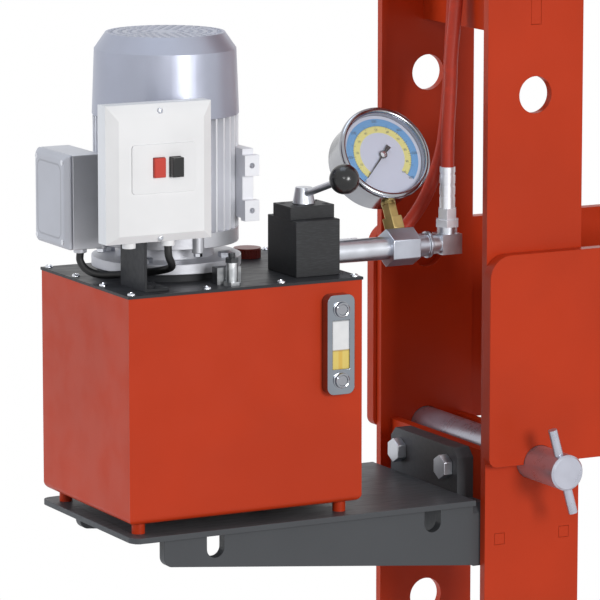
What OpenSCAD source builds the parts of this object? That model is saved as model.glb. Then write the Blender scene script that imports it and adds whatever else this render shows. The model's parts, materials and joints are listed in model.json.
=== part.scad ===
// Hydraulic workshop press with a power unit on a side shelf
// Millimetres, +Z up, Z = 0 on the floor, front towards -Y, power unit on the -X side

/* [Frame] */
// Width of each column plate
column_width = 118; // [114:1:122]
// Thickness of each column plate
column_thickness = 10; // [9:0.5:12]
// Clear gap between the front and rear column plates
column_gap = 225; // [222:1:230]
// Clear width between the left and right columns
throat_width = 700; // [690:5:720]
// Height of the column plates above the foot plate
column_height = 1765; // [1765:5:1800]
// Diameter of the pin holes
hole_diameter = 40; // [40:0.5:41]
// Height between neighbouring pin holes
hole_pitch = 200; // [195:1:205]
// Height of the lowest pin hole
lowest_hole = 370; // [365:1:375]
// Thickness of the tie plates between the columns
tie_thickness = 12; // [10:1:14]
// Height of the lower edge of the upper ties
upper_tie_level = 1230; // [1225:5:1240]
// Height of the upper tie plates
upper_tie_height = 100; // [90:5:105]
// Height of the lower edge of the lower ties
lower_tie_level = 657; // [650:1:660]
// Height of the lower tie plates
lower_tie_height = 123; // [123:1:130]

/* [Base] */
// Length of a foot from front to rear
foot_length = 700; // [680:10:760]
// Width of a foot
foot_width = 140; // [130:2:160]
// Thickness of a foot plate
foot_thickness = 15; // [12:1:18]
// Distance of the floor bolts from the ends of a foot
floor_bolt_inset = 50; // [40:2:80]
// Diameter of the floor bolt holes
floor_hole = 18; // [14:1:22]
// Height of the base bars
base_bar_height = 80; // [60:5:100]
// Run of a foot gusset along the foot
gusset_run = 110; // [90:5:130]

/* [Crosshead] */
// Height of the lower edge of the crosshead
crosshead_level = 1520; // [1520:2:1530]
// Height of the crosshead plates
crosshead_height = 250; // [240:5:255]
// Thickness of the crosshead plates
crosshead_thickness = 20; // [16:1:24]
// Diameter of the frame bolts
frame_bolt = 24; // [20:1:24]

/* [Cylinder] */
// Outside diameter of the barrel
barrel_diameter = 190; // [186:1:196]
// Bore of the barrel
bore_diameter = 150; // [140:1:154]
// Diameter of the ram rod
rod_diameter = 100; // [90:1:104]
// Length of the barrel above its flange
barrel_length = 340; // [340:2:350]
// Thickness of the plate the cylinder hangs from
mount_thickness = 40; // [36:1:42]
// Diameter of the ram nose
nose_diameter = 130; // [120:1:150]
// Height of the ram nose
nose_height = 45; // [42:1:50]
// Diameter of the tooling bore in the ram nose
tool_bore = 30; // [24:1:36]

/* [Bed] */
// Height of the bed plates
bed_height = 231; // [220:1:235]
// Thickness of the bed plates
bed_thickness = 15; // [12:1:18]
// Overhang of the bed past the columns
bed_overhang = 4; // [0:0.5:8]
// Side clearance between bed and columns
bed_clearance = 0.6; // [0.4:0.1:0.9]
// Upper corner radius of the bed plates
bed_top_radius = 26; // [16:1:32]
// Lower corner radius of the bed plates
bed_bottom_radius = 10; // [5:1:14]

/* [Pins] */
// Diameter of the bed pins
pin_diameter = 39; // [38.2:0.1:39.2]
// Length of a pin in front of the columns
pin_front = 75; // [65:1:90]
// Length of a pin behind the bed
pin_rear = 12; // [6:1:20]
// Diameter of the pin cross bar
bar_diameter = 10; // [8:0.5:12]
// Length of the pin cross bar
bar_length = 97; // [80:1:110]
// Lean of the pin cross bar
bar_tilt = 16; // [0:1:30]

/* [Shelf] */
// Height of the shelf's upper face
shelf_level = 731; // [729:0.5:732]
// Thickness of the shelf plate
shelf_thickness = 6; // [5:0.5:8]
// Depth of the shelf plate from front to rear
shelf_depth = 233; // [226:1:240]
// Thickness of the shelf arms
arm_thickness = 12; // [10:1:14]
// Height of an arm at its free end
arm_tip_height = 30; // [28:1:36]
// Thickness of the shelf end plate
end_thickness = 20; // [16:1:22]
// Width of the notches in the arms
notch_width = 20; // [16:1:22]

/* [Tank] */
// Width of the tank
tank_width = 274; // [268:1:282]
// Depth of the tank from front to rear
tank_depth = 217; // [212:1:222]
// Height of the tank
tank_height = 240; // [230:1:250]
// Wall of the tank
tank_wall = 3; // [2:0.5:4]
// Clear distance between tank and column
tank_offset = 144.5; // [142:0.5:147]
// Height of the tank feet
tank_foot_height = 12; // [10:0.5:16]
// Thickness of the tank lid
lid_thickness = 3; // [2.5:0.5:4]
// Diameter of the filler cap
cap_diameter = 30; // [28:0.5:34]
// Height of the filler cap
cap_height = 11; // [10:0.5:14]

/* [Motor] */
// Motor axis from the left side of the tank
motor_inset = 107.5; // [105:0.5:110]
// Radius of the mounting flange
flange_radius = 80; // [78:0.5:82]
// Outer radius of the cooling fins
fin_radius = 77.5; // [75:0.5:78]
// Height of the finned housing
housing_height = 120.5; // [116:0.5:126]
// Number of cooling fins around the housing
fin_count = 40; // [32:4:44]
// Thickness of a cooling fin
fin_thickness = 2.4; // [2:0.1:3]
// Height of the fan cowl
cowl_height = 86.5; // [82:0.5:92]
// Shaft diameter
shaft_diameter = 19; // [16:0.5:20]

/* [Switch] */
// Width of the switch box
switch_width = 121; // [116:1:126]
// Height of the switch box
switch_height = 144; // [138:1:150]
// Depth of the switch box
switch_depth = 26; // [24:0.5:30]
// Height of the switch box above the lid
switch_lift = 55.5; // [54:0.5:58]
// Travel of the push buttons
button_travel = 3; // [2:0.5:4]

/* [Valve] */
// Width of the valve body
valve_width = 52.5; // [50:0.5:54]
// Depth of the valve body
valve_depth = 66; // [64:0.5:67]
// Height of the valve body
valve_height = 60; // [56:0.5:62]
// Length of the lever from its axis to the knob
lever_length = 95.5; // [85:0.5:105]
// Rise angle of the lever
lever_rise = 17; // [12:0.5:20]
// Diameter of the ball knob
knob_diameter = 32; // [28:0.5:35]

/* [Line] */
// Height of the pressure line above the lid
line_lift = 18.5; // [18.5:0.5:20]
// Diameter of the pressure tube
tube_diameter = 25; // [22:0.5:26]
// Width across flats of the tee
tee_flats = 36; // [32:0.5:36]
// Diameter of the hoses
hose_diameter = 14.5; // [13:0.5:15]

/* [Gauge] */
// Lean of the gauge towards the rear
gauge_lean = 30; // [24:1:36]
// Distance of the gauge centre from the line
gauge_reach = 101.6; // [100:0.2:106]
// Radius of the gauge bezel
bezel_radius = 53.5; // [52.5:0.5:55]
// Depth of the gauge case
gauge_depth = 44; // [42:0.5:48]

/* [Hidden] */
$fn = 64;

// Colours
red_paint = [0.72, 0.24, 0.13];
dark_red_paint = [0.50, 0.14, 0.12];
shelf_grey = [0.28, 0.29, 0.30];
black_finish = [0.08, 0.08, 0.09];
bright_steel = [0.72, 0.72, 0.74];
motor_grey = [0.66, 0.66, 0.70];
white_shell = [0.93, 0.93, 0.92];
brass_tone = [0.78, 0.62, 0.33];
cap_red = [0.40, 0.12, 0.10];
signal_red = [0.80, 0.12, 0.10];
clear_tone = [0.85, 0.90, 0.92];
hose_red = [0.55, 0.16, 0.13];

// Fits
running_gap = 0.05;
seat_gap = 0.3;
slide_gap = 0.4;
bolt_gap = 0.5;
tab_gap = 0.3;
cut = 1;

// Frame places
hole_count = 5;
bed_hole = 2;
col_x = throat_width / 2 + column_width / 2;
col_outer = throat_width / 2 + column_width;
col_in = column_gap / 2;
col_out = col_in + column_thickness;
lower_tie_spread = 81;
lower_tab_level = 687;
lower_tab_height = 12;
upper_tab_inset = 16;
upper_tab_level = upper_tie_level + upper_tie_height / 2;
upper_tab_height = upper_tie_height - 2 * upper_tab_inset;
foot_corner = 20;
floor_bolt_reach = foot_length / 2 - floor_bolt_inset;
gusset_rise = 140;
gusset_thickness = 12;
base_bar_level = 60;
function hole_level(i) = lowest_hole + i * hole_pitch;

// Crosshead and cylinder places
crosshead_overhang = 12;
crosshead_corner = 25;
crosshead_face = col_out + crosshead_thickness;
column_bolt_spread = 60;
column_bolt_inset = 60;
spacer_reach = 240;
spacer_diameter = 60;
spacer_level = crosshead_level + crosshead_height / 2;
bolt_head_ratio = 0.65;
nut_ratio = 0.8;
flats_ratio = 1.5;
mount_width = 320;
mount_bolt = 16;
mount_bolt_reach = 80;
barrel_flange = 260;
barrel_flange_thickness = 25;
barrel_cap = 30;
mount_level = crosshead_level - mount_thickness;
barrel_base = mount_level - barrel_flange_thickness;
barrel_top = mount_level + barrel_length;
gland_flange_thickness = 12;
gland_insert = 62;
gland_base = barrel_base - gland_flange_thickness;
piston_height = 40;
piston_head_room = 20;
piston_top = barrel_top - barrel_cap - piston_head_room;
nose_top = gland_base - 2;
spigot_diameter = 50;
spigot_depth = 20;
tool_bore_depth = 16;
nose_chamfer = 6;
port_level_low = 1542;
port_level_high = 1780;
port_face = 105;
port_boss = 36;
port_passage = 10;
port_root = bore_diameter / 2 + 4;

// Bed and pin places
pin_level = hole_level(bed_hole);
pin_z = pin_level - (hole_diameter - pin_diameter) / 2 + seat_gap;
bed_half = col_outer + bed_overhang;
bed_inner = col_out + bed_clearance;
bed_outer = bed_inner + bed_thickness;
bed_spacer_reach = 290;
bed_spacer_levels = [60, 165];
bed_bolt = 20;
bed_spacer_diameter = 50;
pin_tip = -col_out - pin_front;
pin_end = bed_outer + pin_rear;
pin_chamfer = 2;
bar_setback = 11;

// Shelf and tank places
tank_right = -col_outer - tank_offset;
tank_left = tank_right - tank_width;
tank_x = (tank_left + tank_right) / 2;
tank_bottom = shelf_level + tank_foot_height;
tank_top = tank_bottom + tank_height;
tank_front = -tank_depth / 2;
tank_rear = tank_depth / 2;
tank_radius = 8;
tank_lip = 16;
tank_foot_diameter = 14;
tank_foot_inset = 18;
foot_bolt = 8;
foot_bolt_depth = 9;
shelf_margin = 0.5;
shelf_left = tank_left - shelf_margin;
shelf_bottom = shelf_level - shelf_thickness;
shelf_radius = 12;
outer_tie_face = -col_x - lower_tie_spread / 2 - tie_thickness / 2;
end_left = outer_tie_face - end_thickness;
arm_bolt_room = 8;
arm_y = tank_depth / 2 - tank_foot_inset + arm_bolt_room + arm_thickness / 2;
arm_tip_inset = 39;
arm_left = shelf_left + arm_tip_inset;
arm_tip_bottom = shelf_bottom - arm_tip_height;
arm_root_bottom = lower_tie_level + 1;
arm_radius = 10;
notch_depth = 25;
notch_places = [60, 322];
end_half = arm_y + arm_thickness / 2;
end_shoulder = 10;
end_bottom = lower_tie_level;
end_tongue_half = 75;
end_tongue_top = lower_tie_level + lower_tie_height;
shelf_bolt = 16;
shelf_bolt_reach = 52;
shelf_bolt_level = end_tongue_top - 23;
lid_bottom = tank_top;
lid_top = lid_bottom + lid_thickness;
lid_overhang = 1;
lid_screw = 5;
lid_screw_head = 8;
lid_screw_head_height = 3.2;
lid_screw_inset = 6;
lid_screw_count = 4;
sight_x = tank_right - 32.3;
sight_width = 32.4;
sight_height = 107;
sight_level = tank_top - 65.5;
sight_depth = 14;
sight_bolt_spread = 76;
sight_bolt = 10;
sight_bolt_head = 17;
sight_bolt_head_height = 5;
sight_window_width = 20.6;
sight_window_height = 52.5;
sight_recess = 2;
cap_x = tank_right - 49.5;
cap_y = tank_rear - 46;
neck_diameter = 22;
neck_height = 8;
cap_rib = 1.2;
cap_rib_count = 28;
relief_x = tank_left + 128;
relief_y = tank_front + 17;

// Motor places
motor_x = tank_left + motor_inset;
motor_y = tank_rear - 85;
ring_height = 8;
ring_radius = flange_radius - 6;
flange_bottom = lid_top + ring_height;
flange_thickness = 11;
neck_radius = 51;
shield_bottom = flange_bottom + 26;
shield_top = shield_bottom + 16;
shield_radius = fin_radius;
lug_count = 4;
lug_diameter = 13;
lug_reach = fin_radius - 1;
flange_bolt = 8;
flange_bolt_reach = 66;
housing_top = shield_top + housing_height;
housing_core = 66;
rotor_radius = 48;
air_gap = 0.5;
end_web = 8;
fin_root = housing_core - 2;
pad_reach = 62.5;
pad_width = 17;
pad_height = 22;
pad_depth = 10;
pad_face = 80;
pad_hole = 6;
pad_levels = [21, 69];
rail_width = 13;
rail_start = 12;
rail_end = 86;
box_pad_face = 82;
box_pad_width = 60;
box_pad_height = 64;
cowl_wall = 2;
cowl_base_radius = fin_radius + 0.8;
cowl_shoulder_radius = fin_radius - 1.9;
cowl_top_radius = fin_radius - 14;
cowl_shoulder_drop = 17.3;
cowl_top = housing_top + cowl_height;
grille_rings = [18, 28, 38, 48, 58];
grille_pitch = 9;
grille_hole = 6;
fan_radius = 62;
fan_hub = 16;
fan_level = housing_top + 14;
fan_disc = 3;
fan_height = 34;
fan_blades = 8;
fan_blade_thickness = 3;
fan_blade_root = 3;
fan_blade_length = fan_radius - fan_hub - 2;
coupling_radius = 20;
coupling_gap = 3;
pump_stem = 45;
pump_drop = 95;
pump_body = 42;
strainer_tube = 24;
strainer_diameter = 60;
strainer_lift = 14;
strainer_height = 40;
box_left = motor_x - 127.4;
box_right = motor_x - 95;
box_y = motor_y;
box_width = 80;
box_bottom = lid_top + 37;
box_height = 100;
box_wall = 3;
box_lid_thickness = 9;
box_lid_bevel = 5;
gland_diameter = 14;
gland_length = 6;
lead_diameter = 8;

// Switch places
switch_x = motor_x - 73.5;
switch_front = tank_front - 10;
switch_back = switch_front + switch_depth;
switch_bottom = lid_top + switch_lift;
switch_top = switch_bottom + switch_height;
switch_bevel_side = 12;
switch_bevel_top = 16;
switch_bevel_bottom = 9;
switch_bevel_depth = 7.5;
panel_x = switch_x + 2;
panel_level = switch_bottom + 77.5;
panel_width = 73;
panel_height = 51;
panel_rise = 2;
panel_radius = 4;
button_width = 12.8;
button_height = 20.4;
button_depth = 12;
stop_x = panel_x - 6;
start_x = panel_x + 12.5;
stop_rise = 3.5;
start_rise = 8;
button_level = panel_level + 1;
sheet = 3;
bracket_x = switch_x - 6.5;
bracket_rear = switch_back + 58;
bracket_plate_half = 40;
bracket_foot_reach = 27;
bracket_foot_rear = switch_back + 32;
stud_places = [[8, 8], [15, 22]];
stud = 6;
lead_end_x = switch_x + 14.5;
lead_end_y = switch_front + 16.5;

// Valve and line places
valve_right = tank_right - 14;
valve_left = valve_right - valve_width;
valve_x = (valve_left + valve_right) / 2;
valve_rear = -19;
valve_front = valve_rear - valve_depth;
valve_top = lid_top + valve_height;
valve_cap_depth = 40;
valve_cap_height = 14;
valve_axis_y = -52;
hub_bottom = valve_top + valve_cap_height + 0.5;
hub_height = 17;
hub_wide = 24;
hub_narrow = 18;
spindle = 10;
spindle_depth = 36;
lever_rod = 7.5;
lever_z = hub_bottom + 9;
knob_hole_depth = 12;
line_y = valve_axis_y;
line_z = lid_top + line_lift;
tee_left = valve_right + 73.5;
tee_length = 34;
tee_right = tee_left + tee_length;
tee_x = (tee_left + tee_right) / 2;
spigot_length = 15;
ring_length = 4;
ring_diameter = 29;
tube_bore = 12;
elbow_reach = 23;
elbow_rise = 18.5;
elbow_leg = 22;
elbow_block = 24;
elbow_x = tee_right + spigot_length + ring_length + elbow_reach;
nut_flats = 24;
nut_length = 8;
collar_flats = 19;
collar_length = 12;
ferrule_diameter = 17;
ferrule_length = 45;
groove_depth = 0.6;
groove_width = 3;
groove_places = [12, 24, 36];
rear_port_inset = 16;
rear_port_x = valve_right - rear_port_inset;
rear_port_y = valve_rear + elbow_reach;
rear_port_z = line_z - 4.5;

// Gauge places
adapter_start = tee_flats / 2;
adapter_middle = adapter_start + 15;
adapter_end = gauge_reach - 53;
adapter_wide = 21;
adapter_narrow = 15;
case_radius = bezel_radius - 3.5;
bezel_depth = 9;
gauge_face = 23.7;
case_back = gauge_depth - gauge_face;
window_radius = bezel_radius - 6;
cavity_radius = case_radius - 3;
dial_setback = 10;
dial_thickness = 1.5;
glass_setback = 3;
glass_thickness = 2;
needle_setback = 7.5;
needle_thickness = 0.8;
needle_length = 36;
needle_tail = 13;
needle_width = 2;
needle_tail_width = 6;
needle_hub = 9;
needle_pin = 3;
needle_zero = 225;
gauge_boss = 16;

// Cord routes, hand-chosen points
hose_sides = 10;
hose_a_route = [
    [-477, -52, 1088], [-477, -52, 1114], [-476, -52, 1140], [-474, -52, 1172], [-473, -52, 1204],
    [-470, -52, 1238], [-467, -52, 1270], [-463, -52, 1310], [-458, -52, 1350], [-452, -51, 1390],
    [-446, -50, 1430], [-439, -48, 1470], [-431, -45, 1510], [-421, -41, 1550], [-408, -36, 1590],
    [-392, -30, 1626], [-372, -24, 1660], [-347, -18, 1692], [-317, -12, 1721], [-282, -6, 1748],
    [-246, -2, 1772], [-208, 0, 1780], [-170, 0, 1780],
];
hose_b_route = [
    [-559, 4, 1000], [-533, 4, 1000], [-509, 5, 1007], [-488, 7, 1024], [-471, 9, 1045],
    [-457, 12, 1070], [-446, 15, 1098], [-440, 17, 1130], [-437, 17, 1164], [-435, 17, 1200],
    [-433, 17, 1236], [-431, 17, 1274], [-430, 16, 1312], [-428, 15, 1350], [-424, 13, 1388],
    [-415, 10, 1424], [-400, 7, 1458], [-376, 4, 1488], [-344, 2, 1513], [-306, 1, 1530],
    [-264, 0, 1539], [-218, 0, 1542], [-170, 0, 1542],
];
lead_offsets = [
    [-111, -21.5, 31], [-111, -21.5, 22], [-106, -26, 13], [-95, -33, 8], [-81, -43, 8], [-67, -56, 10],
    [-55, -71, 13], [-47, -88, 17], [-46, -105, 22], [-51, -118, 28], [-58, -125, 38], [-59, -125.5, 49.5],
];
motor_lead_route = [for (p = lead_offsets) [motor_x, motor_y, lid_top] + p];

// Shared shapes
module rounded_rectangle(width, height, radius) {
    square([width - 2 * radius, height], center = true);
    square([width, height - 2 * radius], center = true);
    for (sx = [-1, 1], sy = [-1, 1]) {
        translate([sx * (width / 2 - radius), sy * (height / 2 - radius)]) circle(r = radius);
    }
}

module upright_xz(thickness, y) {
    translate([0, y, 0]) rotate([90, 0, 0]) linear_extrude(thickness, center = true) children();
}

module upright_yz(thickness, x) {
    translate([x, 0, 0]) rotate([90, 0, 90]) linear_extrude(thickness, center = true) children();
}

module rod_x(diameter, from, to) {
    translate([from, 0, 0]) rotate([0, 90, 0]) cylinder(d = diameter, h = to - from);
}

module rod_y(diameter, from, to) {
    translate([0, from, 0]) rotate([-90, 0, 0]) cylinder(d = diameter, h = to - from);
}

module hexagon_bar(flats, length) {
    cylinder(d = flats / cos(30), h = length, $fn = 6);
}

module block(from, to) {
    translate(from) cube(to - from);
}

module hex_bolt(diameter, grip) {
    translate([0, 0, -bolt_head_ratio * diameter])
        hexagon_bar(flats_ratio * diameter, bolt_head_ratio * diameter);
    cylinder(d = diameter, h = grip + nut_ratio * diameter);
    translate([0, 0, grip]) hexagon_bar(flats_ratio * diameter, nut_ratio * diameter);
}

module hex_screw(diameter, length) {
    translate([0, 0, -bolt_head_ratio * diameter])
        hexagon_bar(flats_ratio * diameter, bolt_head_ratio * diameter);
    cylinder(d = diameter, h = length);
}

// Swept tube along a route
function unit(v) = v / norm(v);
function route_tangent(p, i) = unit(p[min(i + 1, len(p) - 1)] - p[max(i - 1, 0)]);
function route_ring(p, i, radius, side) = let (
    t = route_tangent(p, i),
    a = unit(cross(t, side)),
    b = cross(t, a)
) [for (k = [0 : hose_sides - 1])
    p[i] + radius * (cos(360 * k / hose_sides) * a + sin(360 * k / hose_sides) * b)];

module swept_tube(route, diameter, side) {
    last = (len(route) - 1) * hose_sides;
    points = [for (i = [0 : len(route) - 1]) each route_ring(route, i, diameter / 2, side)];
    walls = [for (i = [0 : len(route) - 2], k = [0 : hose_sides - 1]) let (
        here = i * hose_sides + k,
        next = i * hose_sides + (k + 1) % hose_sides
    ) each [[here, here + hose_sides, next], [next, here + hose_sides, next + hose_sides]]];
    start_cap = [for (k = [0 : hose_sides - 1]) k];
    end_cap = [for (k = [hose_sides - 1 : -1 : 0]) last + k];
    polyhedron(points, concat([start_cap, end_cap], walls));
}

// Frame
module column_profile() {
    difference() {
        translate([-column_width / 2, foot_thickness]) square([column_width, column_height]);
        for (i = [0 : hole_count - 1]) {
            translate([0, hole_level(i)]) circle(d = hole_diameter);
        }
        translate([0, upper_tab_level])
            square([tie_thickness + 2 * tab_gap, upper_tab_height + 2 * tab_gap], center = true);
        for (sx = [-1, 1]) {
            translate([sx * lower_tie_spread / 2, lower_tab_level])
                square([tie_thickness + 2 * tab_gap, lower_tab_height + 2 * tab_gap], center = true);
        }
        for (sx = [-1, 1], sz = [-1, 1]) {
            translate([sx * column_bolt_spread / 2, spacer_level + sz * (crosshead_height / 2 - column_bolt_inset)])
                circle(d = frame_bolt + bolt_gap);
        }
    }
}

module column(side, face) {
    color(red_paint) translate([side * col_x, 0, 0])
        upright_xz(column_thickness, face * (col_in + column_thickness / 2)) column_profile();
}

module column_front_left() {
    column(-1, -1);
}

module column_rear_left() {
    column(-1, 1);
}

module column_front_right() {
    column(1, -1);
}

module column_rear_right() {
    column(1, 1);
}

module tie(x, level, height, tab_level, tab_height) {
    half = tie_thickness / 2;
    block([x - half, -col_in, level], [x + half, col_in, level + height]);
    block([x - half, -col_out, tab_level - tab_height / 2], [x + half, col_out, tab_level + tab_height / 2]);
}

module column_ties() {
    color(red_paint) for (side = [-1, 1]) {
        tie(side * col_x, upper_tie_level, upper_tie_height, upper_tab_level, upper_tab_height);
        tie(side * (col_x - lower_tie_spread / 2), lower_tie_level, lower_tie_height,
            lower_tab_level, lower_tab_height);
        difference() {
            tie(side * (col_x + lower_tie_spread / 2), lower_tie_level, lower_tie_height,
                lower_tab_level, lower_tab_height);
            for (sy = [-1, 1]) {
                translate([0, sy * shelf_bolt_reach, shelf_bolt_level])
                    rod_x(shelf_bolt + bolt_gap, -col_outer, 0);
            }
        }
    }
}

module foot(side) {
    color(red_paint) translate([side * col_x, 0, 0]) {
        linear_extrude(foot_thickness) difference() {
            rounded_rectangle(foot_width, foot_length, foot_corner);
            for (sy = [-1, 1]) {
                translate([0, sy * floor_bolt_reach]) circle(d = floor_hole);
            }
        }
        for (face = [0, 1]) {
            mirror([0, face, 0]) upright_yz(gusset_thickness, 0) polygon([
                [col_out, foot_thickness],
                [col_out + gusset_run, foot_thickness],
                [col_out, foot_thickness + gusset_rise],
            ]);
        }
    }
}

module foot_left() {
    foot(-1);
}

module foot_right() {
    foot(1);
}

module base_beam() {
    color(red_paint) for (face = [-1, 1]) {
        translate([0, face * (col_in + column_thickness / 2), base_bar_level + base_bar_height / 2])
            cube([throat_width, column_thickness, base_bar_height], center = true);
    }
}

// Crosshead
module crosshead(face) {
    color(red_paint) upright_xz(crosshead_thickness, face * (col_out + crosshead_thickness / 2)) difference() {
        translate([0, spacer_level])
            rounded_rectangle(2 * (col_outer + crosshead_overhang), crosshead_height, crosshead_corner);
        for (side = [-1, 1], sx = [-1, 1], sz = [-1, 1]) {
            translate([side * col_x + sx * column_bolt_spread / 2,
                spacer_level + sz * (crosshead_height / 2 - column_bolt_inset)])
                circle(d = frame_bolt + bolt_gap);
        }
        for (side = [-1, 1]) {
            translate([side * spacer_reach, spacer_level]) circle(d = frame_bolt + bolt_gap);
        }
    }
}

module crosshead_front() {
    crosshead(-1);
}

module crosshead_rear() {
    crosshead(1);
}

module crosshead_spacers() {
    color(red_paint) for (side = [-1, 1]) {
        translate([side * spacer_reach, 0, spacer_level]) difference() {
            rod_y(spacer_diameter, -col_out, col_out);
            rod_y(frame_bolt + bolt_gap, -col_out - cut, col_out + cut);
        }
    }
}

module frame_bolts() {
    color(bright_steel) {
        for (side = [-1, 1], face = [0, 1], sx = [-1, 1], sz = [-1, 1]) {
            mirror([0, face, 0])
                translate([side * col_x + sx * column_bolt_spread / 2, -crosshead_face,
                    spacer_level + sz * (crosshead_height / 2 - column_bolt_inset)])
                    rotate([-90, 0, 0]) hex_bolt(frame_bolt, crosshead_thickness + column_thickness);
        }
        for (side = [-1, 1]) {
            translate([side * spacer_reach, -crosshead_face, spacer_level])
                rotate([-90, 0, 0]) hex_bolt(frame_bolt, 2 * crosshead_face);
        }
        for (sx = [-1, 1], sy = [-1, 1]) {
            translate([sx * mount_bolt_reach, sy * mount_bolt_reach, barrel_base])
                hex_bolt(mount_bolt, barrel_flange_thickness + mount_thickness);
        }
        for (sy = [-1, 1]) {
            translate([end_left, sy * shelf_bolt_reach, shelf_bolt_level])
                rotate([0, 90, 0]) hex_bolt(shelf_bolt, end_thickness + tie_thickness);
        }
    }
}

// Cylinder
module cylinder_mount() {
    color(red_paint) translate([0, 0, mount_level]) linear_extrude(mount_thickness) difference() {
        square([mount_width, 2 * crosshead_face], center = true);
        circle(d = barrel_diameter + 2 * slide_gap);
        for (sx = [-1, 1], sy = [-1, 1]) {
            translate([sx * mount_bolt_reach, sy * mount_bolt_reach]) circle(d = mount_bolt + bolt_gap);
        }
    }
}

module cylinder_barrel() {
    color(black_finish) difference() {
        union() {
            translate([0, 0, barrel_base]) cylinder(d = barrel_flange, h = barrel_flange_thickness);
            translate([0, 0, barrel_base]) cylinder(d = barrel_diameter, h = barrel_top - barrel_base);
            for (level = [port_level_low, port_level_high]) {
                translate([0, 0, level]) rod_x(port_boss, -port_face, -port_root);
            }
        }
        translate([0, 0, barrel_base - cut])
            cylinder(d = bore_diameter, h = barrel_top - barrel_cap - barrel_base + cut);
        for (level = [port_level_low, port_level_high]) {
            translate([0, 0, level]) rod_x(port_passage, -port_face - cut, 0);
        }
        for (sx = [-1, 1], sy = [-1, 1]) {
            translate([sx * mount_bolt_reach, sy * mount_bolt_reach, barrel_base - cut])
                cylinder(d = mount_bolt + bolt_gap, h = barrel_flange_thickness + 2 * cut);
        }
    }
}

module cylinder_gland() {
    color(bright_steel) difference() {
        union() {
            translate([0, 0, gland_base]) cylinder(d = barrel_diameter - 12, h = gland_flange_thickness);
            translate([0, 0, barrel_base]) cylinder(d = bore_diameter - 2 * running_gap, h = gland_insert);
        }
        translate([0, 0, gland_base - cut])
            cylinder(d = rod_diameter + 2 * running_gap, h = gland_flange_thickness + gland_insert + 2 * cut);
    }
}

module ram_rod() {
    color(bright_steel) {
        translate([0, 0, nose_top]) cylinder(d = rod_diameter, h = piston_top - nose_top);
        translate([0, 0, piston_top - piston_height])
            cylinder(d = bore_diameter - 2 * running_gap, h = piston_height);
        translate([0, 0, nose_top - spigot_depth]) cylinder(d = spigot_diameter, h = spigot_depth);
    }
}

module ram_nose() {
    color(black_finish) translate([0, 0, nose_top - nose_height]) difference() {
        union() {
            cylinder(d1 = nose_diameter - 2 * nose_chamfer, d2 = nose_diameter, h = nose_chamfer);
            translate([0, 0, nose_chamfer]) cylinder(d = nose_diameter, h = nose_height - nose_chamfer);
        }
        translate([0, 0, nose_height - spigot_depth - seat_gap])
            cylinder(d = spigot_diameter + 2 * running_gap, h = spigot_depth + cut);
        translate([0, 0, -cut]) cylinder(d = tool_bore, h = tool_bore_depth + cut);
    }
}

// Bed
module bed_profile() {
    difference() {
        union() {
            translate([-bed_half, bed_bottom_radius])
                square([2 * bed_half, bed_height - bed_top_radius - bed_bottom_radius]);
            translate([-bed_half + bed_bottom_radius, 0])
                square([2 * (bed_half - bed_bottom_radius), bed_height / 2]);
            translate([-bed_half + bed_top_radius, bed_height / 2])
                square([2 * (bed_half - bed_top_radius), bed_height / 2]);
            for (side = [-1, 1]) {
                translate([side * (bed_half - bed_top_radius), bed_height - bed_top_radius])
                    circle(r = bed_top_radius);
                translate([side * (bed_half - bed_bottom_radius), bed_bottom_radius])
                    circle(r = bed_bottom_radius);
            }
        }
        for (side = [-1, 1]) {
            translate([side * col_x, 0]) circle(d = pin_diameter + 2 * seat_gap);
        }
        for (side = [-1, 1], level = bed_spacer_levels) {
            translate([side * bed_spacer_reach, level]) circle(d = bed_bolt + bolt_gap);
        }
    }
}

module bed_plate(face) {
    color(red_paint) translate([0, 0, pin_z])
        upright_xz(bed_thickness, face * (bed_inner + bed_thickness / 2)) bed_profile();
}

module bed_front() {
    bed_plate(-1);
}

module bed_rear() {
    bed_plate(1);
}

module bed_spacers() {
    color(red_paint) for (side = [-1, 1], level = bed_spacer_levels) {
        translate([side * bed_spacer_reach, 0, pin_z + level]) difference() {
            rod_y(bed_spacer_diameter, -bed_inner, bed_inner);
            rod_y(bed_bolt + bolt_gap, -bed_inner - cut, bed_inner + cut);
        }
    }
}

module bed_bolts() {
    color(bright_steel) for (side = [-1, 1], level = bed_spacer_levels) {
        translate([side * bed_spacer_reach, -bed_outer, pin_z + level])
            rotate([-90, 0, 0]) hex_bolt(bed_bolt, 2 * bed_outer);
    }
}

module bed_pin(side) {
    color(bright_steel) translate([side * col_x, 0, pin_z]) {
        rod_y(pin_diameter, pin_tip + pin_chamfer, pin_end - pin_chamfer);
        translate([0, pin_tip, 0]) rotate([-90, 0, 0])
            cylinder(d1 = pin_diameter - 2 * pin_chamfer, d2 = pin_diameter, h = pin_chamfer);
        translate([0, pin_end, 0]) rotate([90, 0, 0])
            cylinder(d1 = pin_diameter - 2 * pin_chamfer, d2 = pin_diameter, h = pin_chamfer);
        translate([0, pin_tip + bar_setback, 0]) rotate([0, -bar_tilt, 0])
            cylinder(d = bar_diameter, h = bar_length, center = true);
    }
}

module left_pin() {
    bed_pin(-1);
}

module right_pin() {
    bed_pin(1);
}

// Shelf
module foot_places() {
    for (sx = [-1, 1], sy = [-1, 1]) {
        translate([tank_x + sx * (tank_width / 2 - tank_foot_inset), sy * (tank_depth / 2 - tank_foot_inset), 0])
            children();
    }
}

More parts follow.
